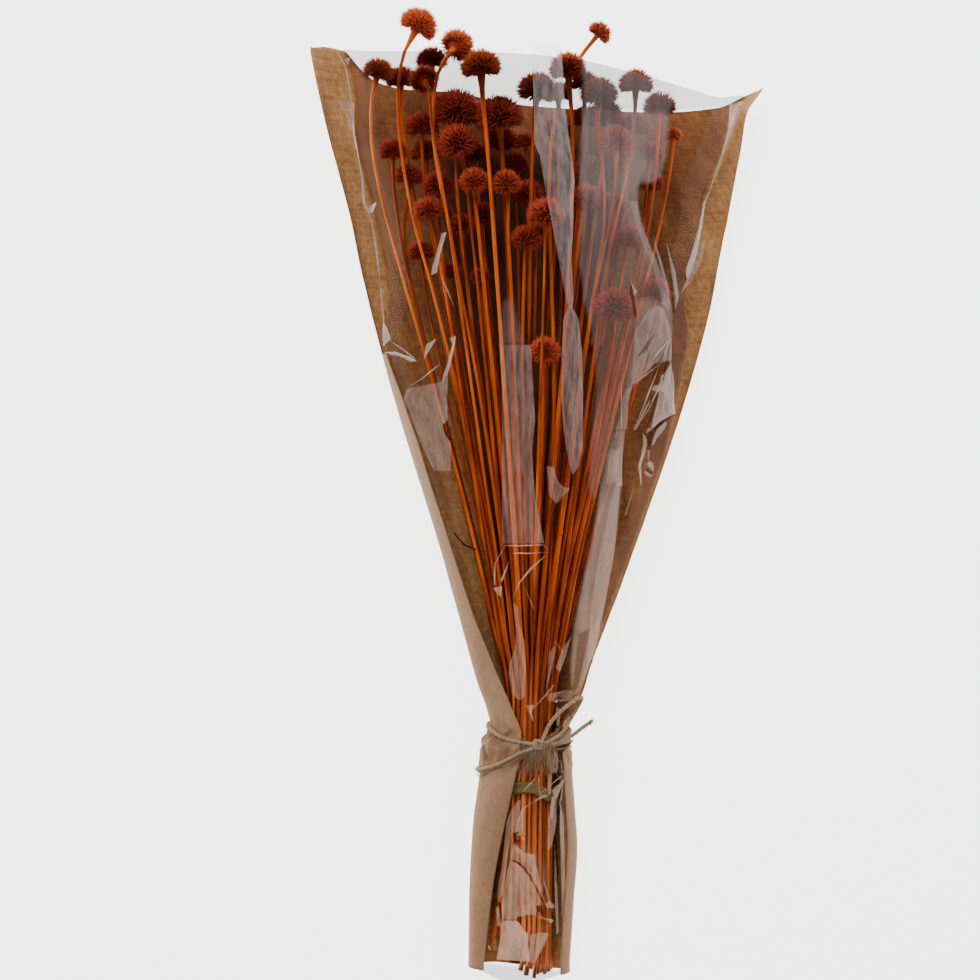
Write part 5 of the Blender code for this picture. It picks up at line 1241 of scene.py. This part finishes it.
def film_lift(share, x, y):
    """How far folds lift the film: soft dents, gathers at the tie, and crumples of two sizes."""
    inside = eased(np.sin(math.pi * np.clip(share, 0.0, 1.0)) / 0.35)
    near_tie = np.exp(-np.abs(y - NECK_ROW) / TIE_REACH)
    gathers = waves(24.0 * share, 0.004 * y, 11, 9, 2.2, fold=True)
    crumple = waves(x, 0.6 * y, 12, 10, 17.0, fold=True)
    small = waves(x, y, 13, 10, 7.0, fold=True)
    soft = waves(x, 0.5 * y, 14, 8, 48.0)
    from_row, to_row = RIGHT_ROWS
    side = eased((share - RIGHT_SHARE) / 0.3) * eased((y - from_row) / 120.0) * eased((to_row - y) / 60.0)
    places = (1.0, side, eased((LOW_ROW - y) / 30.0), near_tie)
    high, small_high = (sum(height * place for height, place in zip(heights, places))
                        for heights in (CRUMPLE_HEIGHTS, SMALL_HEIGHTS))
    lift = DENT_HEIGHT * soft + high * crumple + small_high * small
    lift = inside * lift + GATHER_HEIGHT * near_tie * inside * gathers
    return np.maximum(lift, -DEEPEST_DENT)


def over_film(turn, y, home, turned):
    """Points of the paper's outer face over the film where it is turned, and at the sleeve's edge elsewhere.

    They lie a layer out from the film's face, and are moved by a further step across and up.
    """
    x, z = front_point(turn, y)
    out_x, out_z = outward(turn, y)
    edge_x, edge_z, home_x, home_z = home
    x = np.where(turned, x + out_x * LAYER_STEP + home_x, edge_x)
    z = np.where(turned, z + out_z * LAYER_STEP + home_z, edge_z)
    return np.stack([x, y, z], axis=2)


def paper_grid(strip, back, wrap, rows):
    """Points of the paper's outer face as columns, and the sheet's own values at them.

    Columns run from the free edge of the strip that lies over the film, round the sleeve's left edge, along
    the trough behind it, and round the right edge onto the front below the tie. The values are the place
    across the flat sheet, the place along, and its painted shade, or on the strip less its painted crease
    shade.
    """
    v = np.linspace(0.0, 1.0, rows)[None, :]
    # The strip: it comes home to the sleeve's left edge as its columns near it.
    j = np.linspace(1.0, 0.0, strip, endpoint=False)[:, None]
    y = rows_between(PAPER_BOTTOM, PAPER_TOP, 0.0, v) + 0.0 * j
    left, level = left_edge(y), curve(EDGE_LEVEL, y)
    free_edge = true_across(curve(STRIP_EDGE, y), curve(FILM_CROWN, y))
    reach = np.where(y < STRIP_TOP, front_turn(free_edge, y), 0.0)
    foot_x, foot_z = front_point(0.0 * y, y)
    home = (left, level, (left - (foot_x - LAYER_STEP)) * (1.0 - j), (level - foot_z) * (1.0 - j))
    over = over_film(reach * j, y, home, reach > 0.0)
    # The back.
    share = rounded(back)
    y = rows_between(PAPER_BOTTOM, PAPER_TOP, share, v)
    x = left_edge(y) + (right_edge(y) - left_edge(y)) * share
    behind = np.stack([x, y, trough(share + 0.0 * y, y)], axis=2)
    # The turned margin.
    j = np.linspace(0.0, 1.0, wrap + 1)[1:, None]
    y = rows_between(PAPER_BOTTOM, PAPER_TOP, 1.0, v) + 0.0 * j
    turned = RIGHT_WRAP_TURN * eased((RIGHT_WRAP_TOP - y) / WRAP_RAMP)
    home = (right_edge(y), curve(EDGE_LEVEL, y), 0.0, 0.0)
    onto = over_film(math.pi - turned * j, y, home, turned > 0.0)
    grid = np.concatenate([over, behind, onto])
    step = np.linalg.norm(np.diff(grid, axis=0), axis=2)
    flat = np.concatenate([np.zeros((1, rows)), np.cumsum(step, axis=0)])
    flat = flat - flat[strip:strip + 1]
    # The paper's painted shade: behind the bunch and under the film, and on the strip in its creases.
    painted_shade = painted_shade_share(grid[..., 0], grid[..., 1])
    painted_shade[:strip] = -crease_shade(flat[:strip], grid[:strip, :, 0], grid[:strip, :, 1])
    return grid, np.stack([flat, grid[..., 1], painted_shade], axis=2)


def crease_shade(flat, x, y):
    """Painted shade on the strip: in valleys and creases where the tie gathers it, and below everywhere but a
    soft crease.
    """
    valleys = np.clip(-waves(flat, 0.6 * y, 25, 9, 11.0, fold=True), 0.0, 1.0)
    valleys = 0.75 * valleys**1.4 * np.exp(-((y + 157.0) / 10.0)**2)
    creased = 0.10 * np.exp(-((y + 158.0) / 12.0)**2)
    for darkness, half, start, end in TIE_CREASES:
        way = np.subtract(end, start)
        share = np.clip(((x - start[0]) * way[0] + (y - start[1]) * way[1]) / (way @ way), 0.0, 1.0)
        off = np.hypot(x - start[0] - share * way[0], y - start[1] - share * way[1])
        creased = creased + darkness * np.exp(-(off / half)**2)
    row, middle = np.array(STRIP_CREASE, float).T
    off = x - np.interp(y, row, middle)
    # Painted shade beside the soft crease, darker towards the strip's free edge, none along the crease itself.
    edge_shade = 0.13 + 0.10 * np.clip(off / 20.0, -1.0, 1.0)
    edge_shade = edge_shade * (1.0 - np.exp(-(off / 2.0)**2)) * eased((-172.0 - y) / 20.0)
    return np.clip(0.7 * valleys + creased + edge_shade, 0.0, 1.0)


def painted_shade_share(x, y):
    """How much painted shade the paper has: all behind the stems and heads, some under the film, none past it.
    """
    row, middle, half = np.array(SHADED_ROWS, float).T
    off = np.abs(x - np.interp(y, row, middle)) / np.interp(y, row, half)
    # Painted shade where the stems and heads lie, and a share of it under the film, weaker at the bottom.
    dyed = (1.0 - eased((off - 0.72) / 0.42)) * eased((SHADE_TOP - y) / 30.0)
    left, _ = film_foot(y, -1)
    right, _ = film_foot(y, 1)
    covered = eased((x - left) / 2.0) * eased((right - x) / 2.0) * (0.25 + 0.75 * eased((y + 270.0) / 90.0))
    # Painted light: less shade on the left of the film below the middle.
    lit = 0.9 * eased((90.0 - y) / 70.0) * eased((0.5 * (left + right) - x) / 10.0)
    return np.maximum(dyed, UNDER_FILM_SHADE * covered * (1.0 - lit))


def paper_lift(grid, flat):
    """How far the paper's outer face stands out: soft waves, and sharp wrinkles where the tie gathers it."""
    x, y = flat[..., 0], grid[..., 1]
    near_tie = np.exp(-((y - PAPER_NECK_ROW) / WRINKLE_REACH)**2)
    wrinkles = waves(x, 0.8 * y, 21, 9, 15.0, fold=True) + 0.8 * waves(x, y, 22, 9, 6.5, fold=True)
    soft = waves(x, 0.5 * y, 23, 8, 60.0) + 0.3 * waves(x, 0.6 * y, 24, 9, 16.0)
    raised = grid[..., 2] > TABLE_LEVEL
    gentle = np.where(raised, WAVE_HEIGHT * soft, -WAVE_HEIGHT * np.abs(soft))
    return gentle + near_tie * raised * (GATHERED_RISE + WRINKLE_HEIGHT * wrinkles)


# Twine.

def sleeve_point(turn, y):
    """Points on the outside of the sleeve, over the folded margins in front and on the paper behind."""
    turn = (turn + math.pi) % (2.0 * math.pi) - math.pi
    over = np.clip(turn, 0.0, math.pi)
    x, z = front_point(over, y)
    out_x, out_z = outward(over, y)
    share = 0.5 * (1.0 - np.cos(turn))
    left = left_edge(y)
    front = turn >= 0.0
    behind_x = left + (right_edge(y) - left) * share
    return np.stack([np.where(front, x + out_x * LAYER_STEP, behind_x),
                     np.where(front, z + out_z * LAYER_STEP, trough(share, y))], axis=-1)


def strand_path(knots, radius, step=0.8, gap=TWINE_GAP):
    """Evenly spaced middles of a strand that lies on the sleeve, or off it by its lift."""
    knots = np.array(knots, float)
    order = np.arange(len(knots))
    fine = np.linspace(0.0, len(knots) - 1.0, 24 * len(knots))
    turn, y, lift = (curve(np.stack([order, knots[:, c]], axis=1), fine) for c in range(3))
    here = sleeve_point(turn, y)
    along = sleeve_point(turn + 0.05, y) - sleeve_point(turn - 0.05, y)
    out = np.stack([-along[:, 1], along[:, 0]], axis=1) / np.linalg.norm(along, axis=1)[:, None]
    place = here + out * (radius + gap + lift)[:, None]
    path = np.stack([place[:, 0], y, place[:, 1]], axis=1)
    return evenly(path, step, 4)


def add_rope(shell, path, radius, plies, pitch, sides):
    """Twisted strand: its radius swells at each ply, and the plies wind round it once in a pitch."""
    walked = path_length(path)
    wound = 0.5 * plies * (full_turn(sides)[None, :] - 2.0 * math.pi * walked[:, None] / pitch)
    around = np.abs(np.cos(wound))
    rings = tube_rings(path, radius * (0.70 + 0.36 * around), sides)
    along = np.broadcast_to(walked[:, None], around.shape)
    shell.tube(rings, np.stack([around, along, 0.0 * around], axis=2))


def add_hair(shell, start, way, length, radius, sag, draw, rings=5):
    """One loose fibre: a thin tube that starts along a way and bends by the square of the place along it."""
    t = np.linspace(0.0, 1.0, rings)[:, None]
    path = start + way * length * t + sag * length * t**2
    shell.tube(tube_rings(path, radius * (1.0 - 0.75 * t), 3), fibre_values(draw))


def fibre_values(draw):
    """A drawn place in the jute's colours."""
    return np.array([draw.uniform(0.0, 1.0), draw.uniform(0.0, 60.0), 0.0])


# Sizes and colours that a user would change.

def colour_setting(name, description, default):
    """A colour that a user would change."""
    return bpy.props.FloatVectorProperty(name=name, description=description, default=default, subtype="COLOR",
                                         min=0.0, max=1.0)


class BouquetFlowerSettings(bpy.types.PropertyGroup):
    """Flowers."""
    bristles: bpy.props.IntProperty(
        name="Bristles", description="Bristles on a head of ten millimetres radius", default=760, min=50,
        max=1000)
    stem_colour: colour_setting("Stem colour", "Brightest colour of the dyed stems", (0.66, 0.125, 0.010))
    tip_colour: colour_setting("Tip colour", "Colour of the bristles' tips", (0.60, 0.110, 0.036))
    seed: bpy.props.IntProperty(name="Seed", description="Draw for stems and bristles", default=5, min=0)


class BouquetPaperSettings(bpy.types.PropertyGroup):
    """Kraft paper."""
    thickness: bpy.props.FloatProperty(
        name="Thickness", description="Thickness of the paper", default=0.0003, unit="LENGTH", min=0.0001,
        max=0.001, precision=5)
    outside: colour_setting("Outside", "Colour of the paper's outer face", (0.325, 0.180, 0.095))
    inside: colour_setting("Inside", "Colour of the paper's inner face", (0.51, 0.258, 0.100))


class BouquetFilmSettings(bpy.types.PropertyGroup):
    """Clear film."""
    thickness: bpy.props.FloatProperty(
        name="Thickness", description="Thickness of the film", default=0.0001, unit="LENGTH", min=0.00005,
        max=0.001, precision=5)
    veil: bpy.props.FloatProperty(
        name="Veil", description="Strength of glare and haze", default=1.0, min=0.0, max=2.0)
    gloss: bpy.props.FloatProperty(
        name="Gloss", description="Most that the film's face mirrors", default=0.006, min=0.0, max=1.0)
    tint: colour_setting("Tint", "Light that one face of the film lets through", (0.985, 0.985, 0.985))
    # Painted shade: the darker tint on the film where it stands past the paper's edges.
    past_paper_shade: colour_setting("Smoke", "Light that one face lets through past the paper", (0.672, 0.668, 0.666))
    veil_colour: colour_setting("Veil colour", "Colour of glare and haze by the heads", (0.73, 0.655, 0.63))
    low_veil: colour_setting("Low veil", "Colour of glare and haze by the cut ends", (0.93, 0.62, 0.44))


class BouquetTwineSettings(bpy.types.PropertyGroup):
    """Jute twine."""
    pale: colour_setting("Pale fibre", "Lighter colour of the jute", (0.43, 0.285, 0.172))
    dark: colour_setting("Dark fibre", "Darker colour of the jute", (0.15, 0.092, 0.048))
    hairs: bpy.props.IntProperty(
        name="Loose fibres", description="Loose fibres along the twine", default=420, min=0, max=1000)


class BouquetBandSettings(bpy.types.PropertyGroup):
    """Brown band."""
    pale: colour_setting("Pale", "Lighter colour of the band", (0.20, 0.125, 0.045))
    dark: colour_setting("Dark", "Darker colour of the band", (0.10, 0.060, 0.020))


class BouquetStageSettings(bpy.types.PropertyGroup):
    """Studio."""
    floor: colour_setting("Floor", "Colour of the floor", (0.93, 0.93, 0.93))
    floor_glow: bpy.props.FloatProperty(
        name="Floor glow", description="Light that comes up through the table", default=3.2, min=0.0)
    room_light: bpy.props.FloatProperty(
        name="Room light", description="Strength of the light from all round", default=0.5, min=0.0)
    key_light: bpy.props.FloatProperty(
        name="Key light", description="Power of the large lamp", default=50.0, unit="POWER", min=0.0)


# Operators.

class BouquetStage(bpy.types.Operator):
    """Make the camera, the floor and the soft studio light"""
    bl_idname = "bouquet.stage"
    bl_label = "Studio"

    def execute(self, context):
        settings = context.scene.bouquet_stage
        self.link_camera(context.scene)
        self.link_floor(context.scene, settings)
        world = bpy.data.worlds.new("studio")
        world.use_nodes = True
        backdrop = world.node_tree.nodes["Background"]
        backdrop.inputs["Color"].default_value = (1.0, 1.0, 1.0, 1.0)
        backdrop.inputs["Strength"].default_value = settings.room_light
        context.scene.world = world
        for name, place, size, share in LAMPS:
            lamp = bpy.data.lights.new(name, "AREA")
            lamp.size = size
            lamp.energy = settings.key_light * share
            holder = bpy.data.objects.new(name, lamp)
            holder.location = place
            holder.rotation_euler = (math.atan2(math.hypot(place[0], place[1]), place[2]), 0.0,
                                     math.atan2(-place[1], -place[0]) - 0.5 * math.pi)
            context.scene.collection.objects.link(holder)
        return {"FINISHED"}

    def link_camera(self, scene):
        """The camera straight above, with the photograph's distance and width of view."""
        camera = bpy.data.objects.new("camera", bpy.data.cameras.new("camera"))
        scene.collection.objects.link(camera)
        camera.location = centred((EYE_X, EYE_Y, EYE_HEIGHT)) * MM
        camera.data.sensor_width = SENSOR
        camera.data.lens = SENSOR * (EYE_HEIGHT - SEEN_LEVEL) / VIEW_WIDTH
        camera.data.clip_start = 0.05
        camera.data.clip_end = 20.0
        bpy.context.scene.camera = camera

    def link_floor(self, scene, settings):
        """A square floor that glows a little, so that it shows as white."""
        mesh = bpy.data.meshes.new("floor")
        corners = [(x * FLOOR_HALF, y * FLOOR_HALF, 0.0) for x, y in ((-1, -1), (1, -1), (1, 1), (-1, 1))]
        mesh.from_pydata(corners, [], [(0, 1, 2, 3)])
        made, tree, output = new_finish("pale floor")
        principled(tree, output, (*settings.floor, 1.0), 0.9, Specular_IOR_Level=0.0,
                   Emission_Color=(1.0, 1.0, 1.0, 1.0), Emission_Strength=settings.floor_glow)
        mesh.materials.append(made)
        floor = bpy.data.objects.new("floor", mesh)
        floor.location.z = -FLOOR_DROP
        scene.collection.objects.link(floor)


class BouquetFlowers(bpy.types.Operator):
    """Make each flower's stem and bristly head on the line of its solid"""
    bl_idname = "bouquet.flowers"
    bl_label = "Flowers"

    def execute(self, context):
        settings = context.scene.bouquet_flowers
        finishes = (stem_finish(settings), bristle_finish(settings))
        # A flower's tone is its dyed colour, darkened by painted shade where it lies deep in the bunch.
        for number, tone in enumerate(TONES, 1):
            node = f"flower_{number:02d}"
            name = f"dried_{node}"
            draw = np.random.default_rng(settings.seed * 1000 + number)
            line, base, axis, radius = flower_form(node)
            shell = Shell()
            add_stem(shell, line, axis, radius, 0.32 + 0.64 * tone, draw)
            add_core(shell, base, axis, radius, tone)
            add_bristles(shell, base, axis, radius, tone, draw, settings)
            place_piece(name, shell.mesh(name, "growth"), finishes, "dried_flower", node)
        return {"FINISHED"}


class BouquetPaper(bpy.types.Operator):
    """Make the kraft paper with its folded strip and its turned margin"""
    bl_idname = "bouquet.paper"
    bl_label = "Kraft paper"

    def execute(self, context):
        settings = context.scene.bouquet_paper
        grid, flat = paper_grid(*PAPER_POINTS)
        grid = grid - surface_normals(grid) * paper_lift(grid, flat)[..., None]
        grid[..., 2] = np.maximum(grid[..., 2], 0.0)
        shell = Shell()
        shell.sheet(grid, [flat[..., c] for c in range(3)], turned=True)
        outside, inside = np.array(settings.outside), np.array(settings.inside)
        # The outer face shows the strip's painted crease shade, the inner face the painted shade behind the
        # bunch and under the film.
        finishes = (kraft_finish("kraft outside", outside, 0.76 * outside, 0.3, -0.75),
                    kraft_finish("kraft inside", inside, (0.46, 0.39, 0.32) * inside, 0.42, 1.0))
        piece = place_piece("wrapping_paper", merged(shell.mesh("kraft paper", "sheet")), finishes,
                            "kraft_paper", "kraft_paper")
        add_wall(piece, settings.thickness, 1)
        return {"FINISHED"}


class BouquetFilm(bpy.types.Operator):
    """Make the clear film over the front, with its facets of glare and its pinched creases"""
    bl_idname = "bouquet.film"
    bl_label = "Clear film"

    def execute(self, context):
        settings = context.scene.bouquet_film
        grid = film_grid(*FILM_POINTS)
        seen_x, seen_y = seen_place(grid[..., 0], grid[..., 1], grid[..., 2])
        shell = Shell()
        shell.sheet(grid, (soft_patches(PAINTED_GLARE, seen_x, seen_y), past_paper(seen_x, seen_y), 0.0 * seen_x))
        piece = place_piece("wrapping_film", shell.mesh("clear film", "veil"), (film_finish(settings),),
                            "clear_film", "clear_film")
        add_wall(piece, settings.thickness)
        shell = Shell()
        draw = np.random.default_rng(31)
        for strength, outline in map(table_row, FACETS):
            self.add_facet(shell, outline, strength)
        for width, points in map(table_row, CREASES):
            self.add_crease(shell, points, width, draw)
        piece = place_piece("film_creases", shell.mesh("film creases", "veil", smooth=False),
                            (facet_finish(settings),), "clear_film", "clear_film")
        add_wall(piece, 0.5 * settings.thickness)
        return {"FINISHED"}

    def add_facet(self, shell, outline, strength):
        """A flat of the film: rows of points between the outline's left and right sides."""
        rows, left, right = outline_rows(outline, FACET_STEP)
        columns = max(3, int((right - left).max() / FACET_STEP) + 2)
        share = np.linspace(0.0, 1.0, columns)[:, None]
        y = rows + 0.0 * share
        grid = on_film(left + (right - left) * share, y, FACET_LIFT)
        shell.sheet(grid, (2.0 * share - 1.0 + 0.0 * y, y, np.full_like(y, strength)))

    def add_crease(self, shell, seen, width, draw):
        """A crease: a ridge along a line on the film, of uneven width and pointed at its ends."""
        line = evenly(seen, CREASE_STEP, 5)
        way = unit(np.gradient(line, axis=0))
        off = np.stack([way[:, 1], -way[:, 0]], axis=1)
        share = np.linspace(0.0, 1.0, len(line))
        uneven = 0.75 + 0.45 * np.sin(share * path_length(seen)[-1] / 6.0 + draw.uniform(0.0, 6.0))
        size = width * uneven * np.sin(math.pi * np.clip(share, 0.03, 0.97))**0.6
        place = line[None] + np.array([-1.0, 0.0, 1.0])[:, None, None] * (off * size[:, None])[None]
        lift = CREASE_LIFT + np.array([0.0, 0.5, 0.0])[:, None] * size
        grid = on_film(place[..., 0], place[..., 1], lift)
        # Each crease carries a painted highlight of strength one half.
        shell.sheet(grid, (np.zeros(grid.shape[:2]), grid[..., 1], np.full(grid.shape[:2], 0.5)))


class BouquetTwine(bpy.types.Operator):
    """Make the jute twine with its knot, bow loop, loose end and frayed tuft"""
    bl_idname = "bouquet.twine"
    bl_label = "Jute twine"

    def execute(self, context):
        settings = context.scene.bouquet_twine
        draw = np.random.default_rng(17)
        shell = Shell()
        paths = [strand_path(knots, TWINE_RADIUS) for knots in (UPPER_TURN, LOWER_TURN, BOW_LOOP, LOOSE_END)]
        for path in paths:
            add_rope(shell, path, 1.12 * TWINE_RADIUS, 2, PLY_PITCH, 18)
        knot = strand_path(KNOT, TWINE_RADIUS)[0]
        for tilt, size, phase in KNOT_COILS:
            self.add_coil(shell, knot, tilt, size, phase)
        self.add_tuft(shell, knot, draw)
        self.add_strays(shell, draw)
        self.add_fuzz(shell, paths, settings.hairs, draw)
        self.add_tip(shell, paths[-1], draw)
        shell.points = [centred(points) for points in shell.points]
        finish = fibre_finish("jute", settings.pale, settings.dark, (2.0, 0.7, 1.0))
        place_piece("tie_twine", shell.mesh("jute twine", "strand"), (finish,), "jute", "jute_twine")
        return {"FINISHED"}

    def add_coil(self, shell, middle, tilt, size, phase):
        """One turn of the knot: an open oval round its middle, tilted and sunk in the front."""
        t = np.linspace(0.0, 1.75 * math.pi, 26)
        across = size * 1.15 * np.cos(t + phase)
        along = size * 0.75 * np.sin(t + phase)
        path = middle + np.stack([across * math.cos(tilt) - along * math.sin(tilt),
                                  across * math.sin(tilt) + along * math.cos(tilt),
                                  0.6 + 1.0 * np.cos(2.0 * t)], axis=1)
        add_rope(shell, path, 0.95 * TWINE_RADIUS, 3, 8.0, 14)

    def add_tuft(self, shell, knot, draw):
        """Frayed fibres that hang from the knot down over the film."""
        for _ in range(TUFT_FIBRES):
            start = knot + draw.normal(0.0, 1.0, 3) * (3.6, 1.0, 0.5)
            way = unit(np.array([draw.normal(-0.30, 0.34), -1.0, draw.normal(-0.02, 0.06)]))
            sag = np.array([draw.normal(0.0, 0.25), 0.0, -0.05])
            add_hair(shell, start, way, draw.uniform(*TUFT_LENGTH), draw.uniform(*TUFT_RADIUS), sag, draw, 7)

    def add_strays(self, shell, draw):
        """Long fibres that have come loose from the two turns and wander beside them."""
        for knots in (UPPER_TURN, LOWER_TURN):
            for _ in range(STRAY_FIBRES):
                shifted = np.array(knots, float)
                shifted[1:, 1] += draw.normal(0.0, 1.5) + draw.normal(0.0, 0.9, len(knots) - 1)
                shifted[:, 2] += draw.uniform(0.0, 1.4)
                path = strand_path(shifted, 0.3, 1.6)
                walked = path_length(path)
                path[:, 1] += 0.35 * np.cos(walked / draw.uniform(3.0, 8.0) + draw.uniform(0.0, 6.0))
                shell.tube(tube_rings(path, draw.uniform(*STRAY_RADIUS), 3), fibre_values(draw))

    def add_fuzz(self, shell, paths, count, draw):
        """Short fibres that stand off the twine."""
        for path in paths:
            length = path_length(path)[-1]
            for at in draw.uniform(0.0, length, int(count * length / TWINE_LENGTH)):
                i = min(int(at / length * (len(path) - 1)), len(path) - 2)
                way = unit(path[i + 1] - path[i])
                off = draw.normal(0.0, 1.0, 3)
                off = unit(off - way * (off @ way))
                off[2] = abs(off[2])
                lean = unit(way * draw.uniform(-1.0, 1.0) + off * 0.8)
                add_hair(shell, path[i] + off * 0.6, lean, draw.uniform(*FUZZ_LENGTH), FUZZ_RADIUS,
                         draw.normal(0.0, 0.3, 3), draw)

    def add_tip(self, shell, path, draw):
        """The loose end's frayed tip."""
        way = unit(path[-1] - path[-4])
        for _ in range(TIP_FIBRES):
            lean = unit(way + draw.normal(0.0, 0.22, 3))
            start = path[-3] + draw.normal(0.0, 0.5, 3)
            add_hair(shell, start, lean, draw.uniform(*TIP_LENGTH), TIP_RADIUS,
                     draw.normal(0.0, 0.15, 3), draw)


class BouquetBand(bpy.types.Operator):
    """Make the brown band round the stems"""
    bl_idname = "bouquet.band"
    bl_label = "Stem band"

    def execute(self, context):
        settings = context.scene.bouquet_band
        around = full_turn(72)
        ring = np.linspace(0.0, 1.0, 6)
        width = BAND_WIDTH + BAND_UNEVEN * np.sin(3.0 * around)
        arch = BAND_ARCH * (np.cos(around)**2 + eased(np.cos(around) / 0.7))
        section = []
        for share, offset in [(s, BAND_OUTER) for s in ring] + [(s, BAND_INNER) for s in ring[::-1]]:
            bow = offset + 0.12 * np.cos(5.0 * around + 3.0 * share)
            x = BUNDLE_MIDDLE[0] + (BUNDLE_HALF_WIDTH + bow) * np.cos(around)
            z = BUNDLE_MIDDLE[1] + (BUNDLE_HALF_DEPTH + bow) * np.sin(around)
            section.append(np.stack([x, BAND_ROW + (share - 0.5) * width - arch, z], axis=1))
        grid = centred(np.array(section))
        loops, points = grid.shape[:2]
        first = np.arange(points)
        after = np.roll(first, -1)
        faces = [np.stack([first + k * points, after + k * points, after + (k + 1) % loops * points,
                           first + (k + 1) % loops * points], axis=1)[:, ::-1] for k in range(loops)]
        values = np.stack([np.broadcast_to(around * 20.0, (loops, points)), grid[..., 1],
                           0.0 * grid[..., 0]], axis=2)
        shell = Shell()
        shell.add(grid, faces, values.reshape(-1, 3))
        finish = fibre_finish("brown band", settings.pale, settings.dark, (0.12, 0.9, 1.0))
        place_piece("paper_band", shell.mesh("paper band", "strand"), (finish,), "brown_band", "stem_band")
        return {"FINISHED"}


class BouquetPanel(bpy.types.Panel):
    """The bouquet's pieces, with the sizes and colours of each."""
    bl_idname = "VIEW3D_PT_bouquet"
    bl_label = "Dried flower bouquet"
    bl_space_type = "VIEW_3D"
    bl_region_type = "UI"
    bl_category = "Bouquet"

    def draw(self, context):
        for operator, name in zip(OPERATORS, SETTINGS):
            box = self.layout.box()
            box.operator(operator.bl_idname)
            values = getattr(context.scene, name)
            for key in values.__annotations__:
                box.prop(values, key)


# The pieces in the order in which they are made, and the settings of each.
OPERATORS = (BouquetStage, BouquetFlowers, BouquetPaper, BouquetFilm, BouquetBand, BouquetTwine)
SETTINGS = {"bouquet_stage": BouquetStageSettings, "bouquet_flowers": BouquetFlowerSettings,
            "bouquet_paper": BouquetPaperSettings, "bouquet_film": BouquetFilmSettings,
            "bouquet_band": BouquetBandSettings, "bouquet_twine": BouquetTwineSettings}


def register():
    """Register the settings, the operators and the panel."""
    for name, group in SETTINGS.items():
        bpy.utils.register_class(group)
        setattr(bpy.types.Scene, name, bpy.props.PointerProperty(type=group))
    for made in (*OPERATORS, BouquetPanel):
        bpy.utils.register_class(made)


def unregister():
    """Remove what register added."""
    for made in (BouquetPanel, *reversed(OPERATORS)):
        bpy.utils.unregister_class(made)
    for name, group in SETTINGS.items():
        delattr(bpy.types.Scene, name)
        bpy.utils.unregister_class(group)


def main():
    """Register the add-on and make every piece."""
    register()
    bpy.ops.bouquet.stage()
    bpy.ops.bouquet.flowers()
    bpy.ops.bouquet.paper()
    bpy.ops.bouquet.film()
    bpy.ops.bouquet.band()
    bpy.ops.bouquet.twine()


if __name__ == "__main__":
    main()
